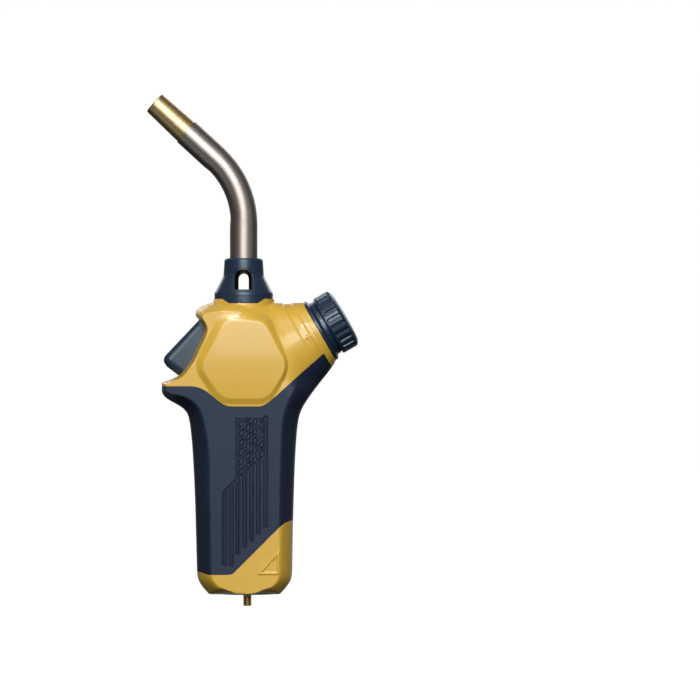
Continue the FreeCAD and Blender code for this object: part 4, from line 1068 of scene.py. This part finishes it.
def plastic(name, color, rough, bump, grain, coat=0.0, coat_rough=0.2, edge=0.0, ior=1.5,
            tint=(1, 1, 1, 1)):
    """Fine-grained plastic: bump is the grain's height in mm, edge a bevel radius in metres."""
    surface = Surface(name)
    coords = surface.coords()
    wide = surface.noise(coords, scale=38.0, detail=3.0)
    surface.drive("Roughness", surface.remap(wide, MIDDLE, (rough - 0.04, rough + 0.04)))
    surface.color(color, surface.remap(wide, MIDDLE, (0.975, 1.025)))
    normal = None
    if edge > 0:
        bevel = surface.add("ShaderNodeBevel", samples=6)
        bevel.inputs["Radius"].default_value = edge
        normal = bevel.outputs[0]
    fine = surface.noise(coords, scale=grain, detail=2.0)
    surface.bump(fine, strength=0.6, distance=bump, normal=normal)
    surface.put(IOR=ior, Coat_Weight=coat, Coat_Roughness=coat_rough, Specular_Tint=tint)


def metal(name, color, rough):
    surface = Surface(name)
    surface.put(Metallic=1.0, Anisotropic=0.0)
    wide = surface.noise(surface.coords(), scale=60.0, detail=3.0)
    surface.color(color, surface.remap(wide, MIDDLE, (0.94, 1.05)))
    surface.drive("Roughness", surface.remap(wide, MIDDLE, (rough * 0.85, rough * 1.2)))


def brushed_metal(name, color, rough, brush, contrast):
    """Metal with fine turned lines; brush gives the texture vector and the tangent."""
    surface = Surface(name)
    surface.put(Metallic=1.0, Anisotropic=0.30)
    vector, tangent = brush(surface, surface.coords())
    surface.drive("Tangent", tangent)
    lines = surface.noise(vector, scale=1.0, detail=3.0, roughness=0.65)
    rough_range = (rough * 0.88, rough * 1.15)
    surface.drive("Roughness", surface.remap(lines, (0.25, 0.75), rough_range))
    surface.bump(lines, strength=0.08, distance=0.0015)
    surface.color(color, surface.remap(lines, (0.2, 0.8), (1 - contrast, 1 + contrast)))


def tube_lines(nodes, coords):
    """Lines round the burn tube: the fast coordinate runs along its centre line."""
    calc = nodes.math
    x, y, z = nodes.split(coords)
    start_z = BEND_START_Z * MM
    from_x = calc("SUBTRACT", x, (BURNER_X - BEND_RADIUS) * MM)
    from_z = calc("SUBTRACT", z, start_z)
    angle = calc("ARCTAN2", from_z, from_x)
    angle = calc("MINIMUM", calc("MAXIMUM", angle, 0.0), BEND)
    # straight run past the bend
    past_x = calc("MULTIPLY", calc("SUBTRACT", x, BEND_END_X * MM), -math.sin(BEND))
    past_z = calc("MULTIPLY", calc("SUBTRACT", z, BEND_END_Z * MM), math.cos(BEND))
    past = calc("MAXIMUM", calc("ADD", past_x, past_z), 0.0)
    arc = calc("MULTIPLY", angle, BEND_RADIUS * MM)
    run = calc("ADD", calc("ADD", calc("MINIMUM", z, start_z), arc), past)
    # line density along the tube, and slow drift across it
    vector = nodes.vector(calc("MULTIPLY", run, 7000.0), calc("MULTIPLY", y, 90.0),
                          calc("MULTIPLY", x, 20.0))
    tangent_x = calc("MULTIPLY", calc("SINE", angle), -1.0)
    return vector, nodes.vector(x=tangent_x, z=calc("COSINE", angle))


def tip_lines(nodes, coords):
    """Lines round the tip, across its tilted axis."""
    density, drift = 9000.0, 120.0
    axis_x, axis_z = -math.sin(BEND), math.cos(BEND)
    run = nodes.add("ShaderNodeVectorMath", operation="DOT_PRODUCT")
    nodes.link(coords, run.inputs[0])
    run.inputs[1].default_value = (axis_x * density, 0.0, axis_z * density)
    across = nodes.math("MULTIPLY", nodes.split(coords)[1], drift)
    return nodes.vector(run.outputs["Value"], across), nodes.vector(x=axis_x, z=axis_z)


BLUE_TINT = (0.8, 0.92, 1.0, 1)
plastic("housing_plastic", (0.66, 0.402, 0.046, 1), rough=0.40, bump=0.006, grain=2400,
        coat=0.45, coat_rough=0.10, edge=0.00025)
plastic("grip_rubber", (0.0125, 0.0190, 0.040, 1), rough=0.46, bump=0.012, grain=3000,
        ior=1.42, tint=(0.7, 0.87, 1.0, 1))
plastic("navy_plastic", (0.0125, 0.027, 0.052, 1), rough=0.29, bump=0.008, grain=2400,
        edge=0.00025, ior=1.6, tint=BLUE_TINT)
plastic("trigger_plastic", (0.013, 0.027, 0.052, 1), rough=0.31, bump=0.008, grain=2400,
        edge=0.0003, ior=1.70, tint=BLUE_TINT)
brushed_metal("tube_steel", srgb(174, 165, 159), rough=0.42, brush=tube_lines, contrast=0.05)
metal("holder_steel", srgb(120, 114, 110), rough=0.4)
# brass painted darker as painted shade: the mixer seen through the collar's windows carries the
# shadow of their inside in its colour
metal("brass_painted_shade", srgb(58, 48, 36), rough=0.45)
metal("spring_steel", srgb(175, 175, 178), rough=0.28)
metal("screw_steel", srgb(120, 121, 126), rough=0.33)
metal("cast_zinc", srgb(176, 178, 182), rough=0.42)
metal("brass", srgb(214, 178, 108), rough=0.34)
brushed_metal("brass_tip", srgb(214, 188, 138), rough=0.43, brush=tip_lines, contrast=0.04)
plastic("seal_rubber", srgb(28, 28, 28), rough=0.55, bump=0.02, grain=2500)
plastic("ceramic_white", srgb(226, 222, 210), rough=0.3, bump=0.006, grain=1500)
plastic("piezo_plastic", srgb(38, 38, 42), rough=0.4, bump=0.01, grain=2000)
plastic("wire_jacket", srgb(196, 48, 36), rough=0.42, bump=0.01, grain=2000)

# Material of each CAD piece.
CAD_MATERIALS = {
    "housing_plastic": "housing_left housing_right",
    "grip_rubber": "grip_left grip_right",
    "navy_plastic": "knob_flange flow_knob air_collar",
    "trigger_plastic": "trigger",
    "tube_steel": "burn_tube",
    "holder_steel": "flame_holder",
    "brass_painted_shade": "orifice mixer",
    "spring_steel": "regulator_spring plunger_spring trigger_pin piezo_spring electrode",
    "screw_steel": "housing_screws",
    "cast_zinc": "inlet_fitting regulator_body diaphragm_plate regulator_bonnet",
    "brass": "inlet_pin inlet_filter regulator_poppet adjusting_screw gas_tube tube_nut "
             "valve_body valve_plunger flow_stem packing_nut flame_tip",
    "seal_rubber": "inlet_seal diaphragm plunger_oring flow_oring",
    "ceramic_white": "electrode_insulator",
    "piezo_plastic": "piezo_body piezo_plunger",
    "wire_jacket": "ignition_wire",
}


def dress(shape, material):
    shape.data.materials.clear()
    shape.data.materials.append(MATERIALS[material])


material_of = {node: mat for mat, nodes in CAD_MATERIALS.items() for node in nodes.split()}
for node_name, cad_piece in NODES.items():
    dress(cad_piece, material_of[node_name])


# ------------------------------------------------------------ handing pieces over
def register(shape, name, body, slot, node, material=None):
    """Names and dresses a piece that rides a body and replaces a CAD node."""
    shape.name = name
    shape.data.name = name
    dress(shape, material or slot)
    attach(shape, body)
    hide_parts(node)


register(shell_near, "shell_near", "torch", "housing_plastic", "housing_left")
register(shell_far, "shell_far", "torch", "housing_plastic", "housing_right")
register(grip_near, "panel_near", "torch", "grip_rubber", "grip_left")
register(grip_far, "panel_far", "torch", "grip_rubber", "grip_right")
register(collar, "collar", "torch", "navy_plastic", "air_collar")
register(flange, "flange", "torch", "navy_plastic", "knob_flange")
register(knob, "fluted_knob", "knob", "navy_plastic", "flow_knob")
register(trigger, "trigger_shape", "trigger", "trigger_plastic", "trigger")
register(pivot, "pivot_pin", "torch", "spring_steel", "trigger_pin")
register(tube, "bent_tube", "torch", "tube_steel", "burn_tube")
register(tip, "nozzle_tip", "torch", "brass", "flame_tip", material="brass_tip")
register(inlet_pin, "grooved_pin", "torch", "brass", "inlet_pin")
register(fitting, "threaded_fitting", "torch", "cast_zinc", "inlet_fitting")


def compressed(node, name, slot, axis, fixed):
    """Copy of a CAD piece with a mesh of its own that takes the node's place; it keeps the node's
    shape.
    """
    shape = bpy.data.objects.new(name, NODES[node].data.copy())
    SCENE.collection.objects.link(shape)
    register(shape, name, "torch", slot, node)
    direction, anchor = [0.0, 0.0, 0.0], [0.0, 0.0, 0.0]
    direction[axis], anchor[axis] = 1.0, fixed * MM
    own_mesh(shape)


compressed("plunger_spring", "shutoff_spring", "spring_steel",
           axis=0, fixed=-8.8)
compressed("piezo_spring", "igniter_spring", "spring_steel",
           axis=0, fixed=4.05)
compressed("diaphragm", "diaphragm_sheet", "seal_rubber",
           axis=2, fixed=31.0)


# -------------------------------------------- floor, light, camera (metres here)
def build_backdrop(radius=7.0, bend=2.0, top=9.0, hub=0.02, seg=96):
    """Seamless pale studio all round: a floor disc that curves up into a wall."""
    floor = FLOOR_Z * MM
    profile = [(hub, floor), (radius - bend, floor)]
    for i in range(1, 13):
        a = math.pi / 2 * i / 12
        profile.append((radius - bend + bend * math.sin(a), floor + bend * (1 - math.cos(a))))
    profile += [(radius, top), (hub, top)]
    rows = len(profile)
    turns = [2 * math.pi * k / seg for k in range(seg)]
    verts = [(r * math.cos(a), r * math.sin(a), z) for a in turns for r, z in profile]
    faces = []
    for k in range(seg):
        a, b = k * rows, (k + 1) % seg * rows
        faces += [[a + i, b + i, b + i + 1, a + i + 1] for i in range(rows - 1)]
    faces.append([k * rows for k in range(seg)][::-1])
    faces.append([k * rows + rows - 1 for k in range(seg)])
    mesh = bpy.data.meshes.new("backdrop")
    mesh.from_pydata(verts, [], faces)
    backdrop = bpy.data.objects.new("backdrop", mesh)
    SCENE.collection.objects.link(backdrop)
    shade(backdrop, 60)
    paper = Surface("pale_paper")
    paper.put(Roughness=0.9, Specular_IOR_Level=0.0, Base_Color=(0.08, 0.08, 0.08, 1),
              Emission_Color=(1, 1, 1, 1), Emission_Strength=1.0)
    mesh.materials.append(paper.material)
    # seen by the camera only, so it neither lights the torch nor shows in it
    for ray in ("diffuse", "glossy", "transmission", "shadow"):
        setattr(backdrop, "visible_" + ray, False)


def softbox(name, direction, distance, width, height, power):
    """Area light that faces a point on the torch from a direction; power in watts."""
    toward = Vector(direction).normalized()
    data = bpy.data.lights.new(name, "AREA")
    data.shape = "RECTANGLE"
    data.size, data.size_y = width, height
    data.energy = power
    light = bpy.data.objects.new(name, data)
    light.location = Vector((0.0, 0.0, 0.11)) + toward * distance
    light.rotation_euler = (-toward).to_track_quat("-Z", "Y").to_euler()
    SCENE.collection.objects.link(light)
    light.visible_camera = False
    return light


def build_lights():
    softbox("front_box", (0.06, -0.90, 0.44), distance=1.7, width=1.5, height=0.55, power=16.0)
    softbox("axis_fill", (0.02, -1.0, 0.195), distance=2.3, width=1.5, height=0.85, power=15.5)
    softbox("key_box", (-0.068, -0.767, 0.613), distance=1.5, width=0.26, height=0.20, power=5.0)
    softbox("top_box", (-0.05, -0.55, 1.0), distance=1.2, width=0.9, height=0.5, power=2.2)
    for name, x in (("back_left", -0.40), ("back_right", 0.40)):
        softbox(name, (x, 0.92, 0.42), distance=1.9, width=0.8, height=0.9, power=4.5)
    # two weak cards for the bare metal only
    bare = bpy.data.collections.new("bare_metal")
    for shape in (tube, tip, inlet_pin):
        bare.objects.link(shape)
    cards = (
        softbox("right_card", (0.85, -0.50, 0.10), distance=1.8, width=0.8, height=1.0, power=0.9),
        softbox("low_card", (-0.72, -0.50, -0.52), distance=1.6, width=0.9, height=0.7, power=1.0),
    )
    for card in cards:
        card.light_linking.receiver_collection = bare


def build_world():
    """Dim bluish surround, brighter from above and from straight behind (+Y)."""
    world = bpy.data.worlds.new("studio")
    SCENE.world = world
    world.use_nodes = True
    nodes = Nodes(world.node_tree)
    nodes.tree.nodes.clear()
    _, y, z = nodes.split(nodes.add("ShaderNodeTexCoord").outputs["Generated"])
    above = nodes.remap(z, (-0.45, 0.25), (0.02, 0.11), interpolation_type="SMOOTHSTEP")
    behind = nodes.remap(y, (0.72, 1.0), (0.0, 0.30), interpolation_type="SMOOTHSTEP")
    background = nodes.add("ShaderNodeBackground")
    background.inputs["Color"].default_value = (0.97, 0.985, 1.0, 1)
    nodes.link(nodes.math("ADD", above, behind), background.inputs["Strength"])
    output = nodes.add("ShaderNodeOutputWorld")
    nodes.link(background.outputs[0], output.inputs[0])


def build_camera():
    data = bpy.data.cameras.new("camera")
    data.sensor_width = 36.0
    data.lens = 231.0
    data.clip_start = 0.05
    data.clip_end = 20.0
    camera = bpy.data.objects.new("camera", data)
    camera.location = (CAMERA_X * MM, -CAMERA_DISTANCE * MM, CAMERA_Z * MM)
    camera.rotation_euler = (math.radians(90), 0, 0)
    SCENE.collection.objects.link(camera)
    SCENE.camera = camera
    SCENE.view_settings.view_transform = "Standard"
    SCENE.view_settings.look = "None"
    SCENE.view_settings.exposure = 0.0


build_backdrop()
build_lights()
build_world()
build_camera()
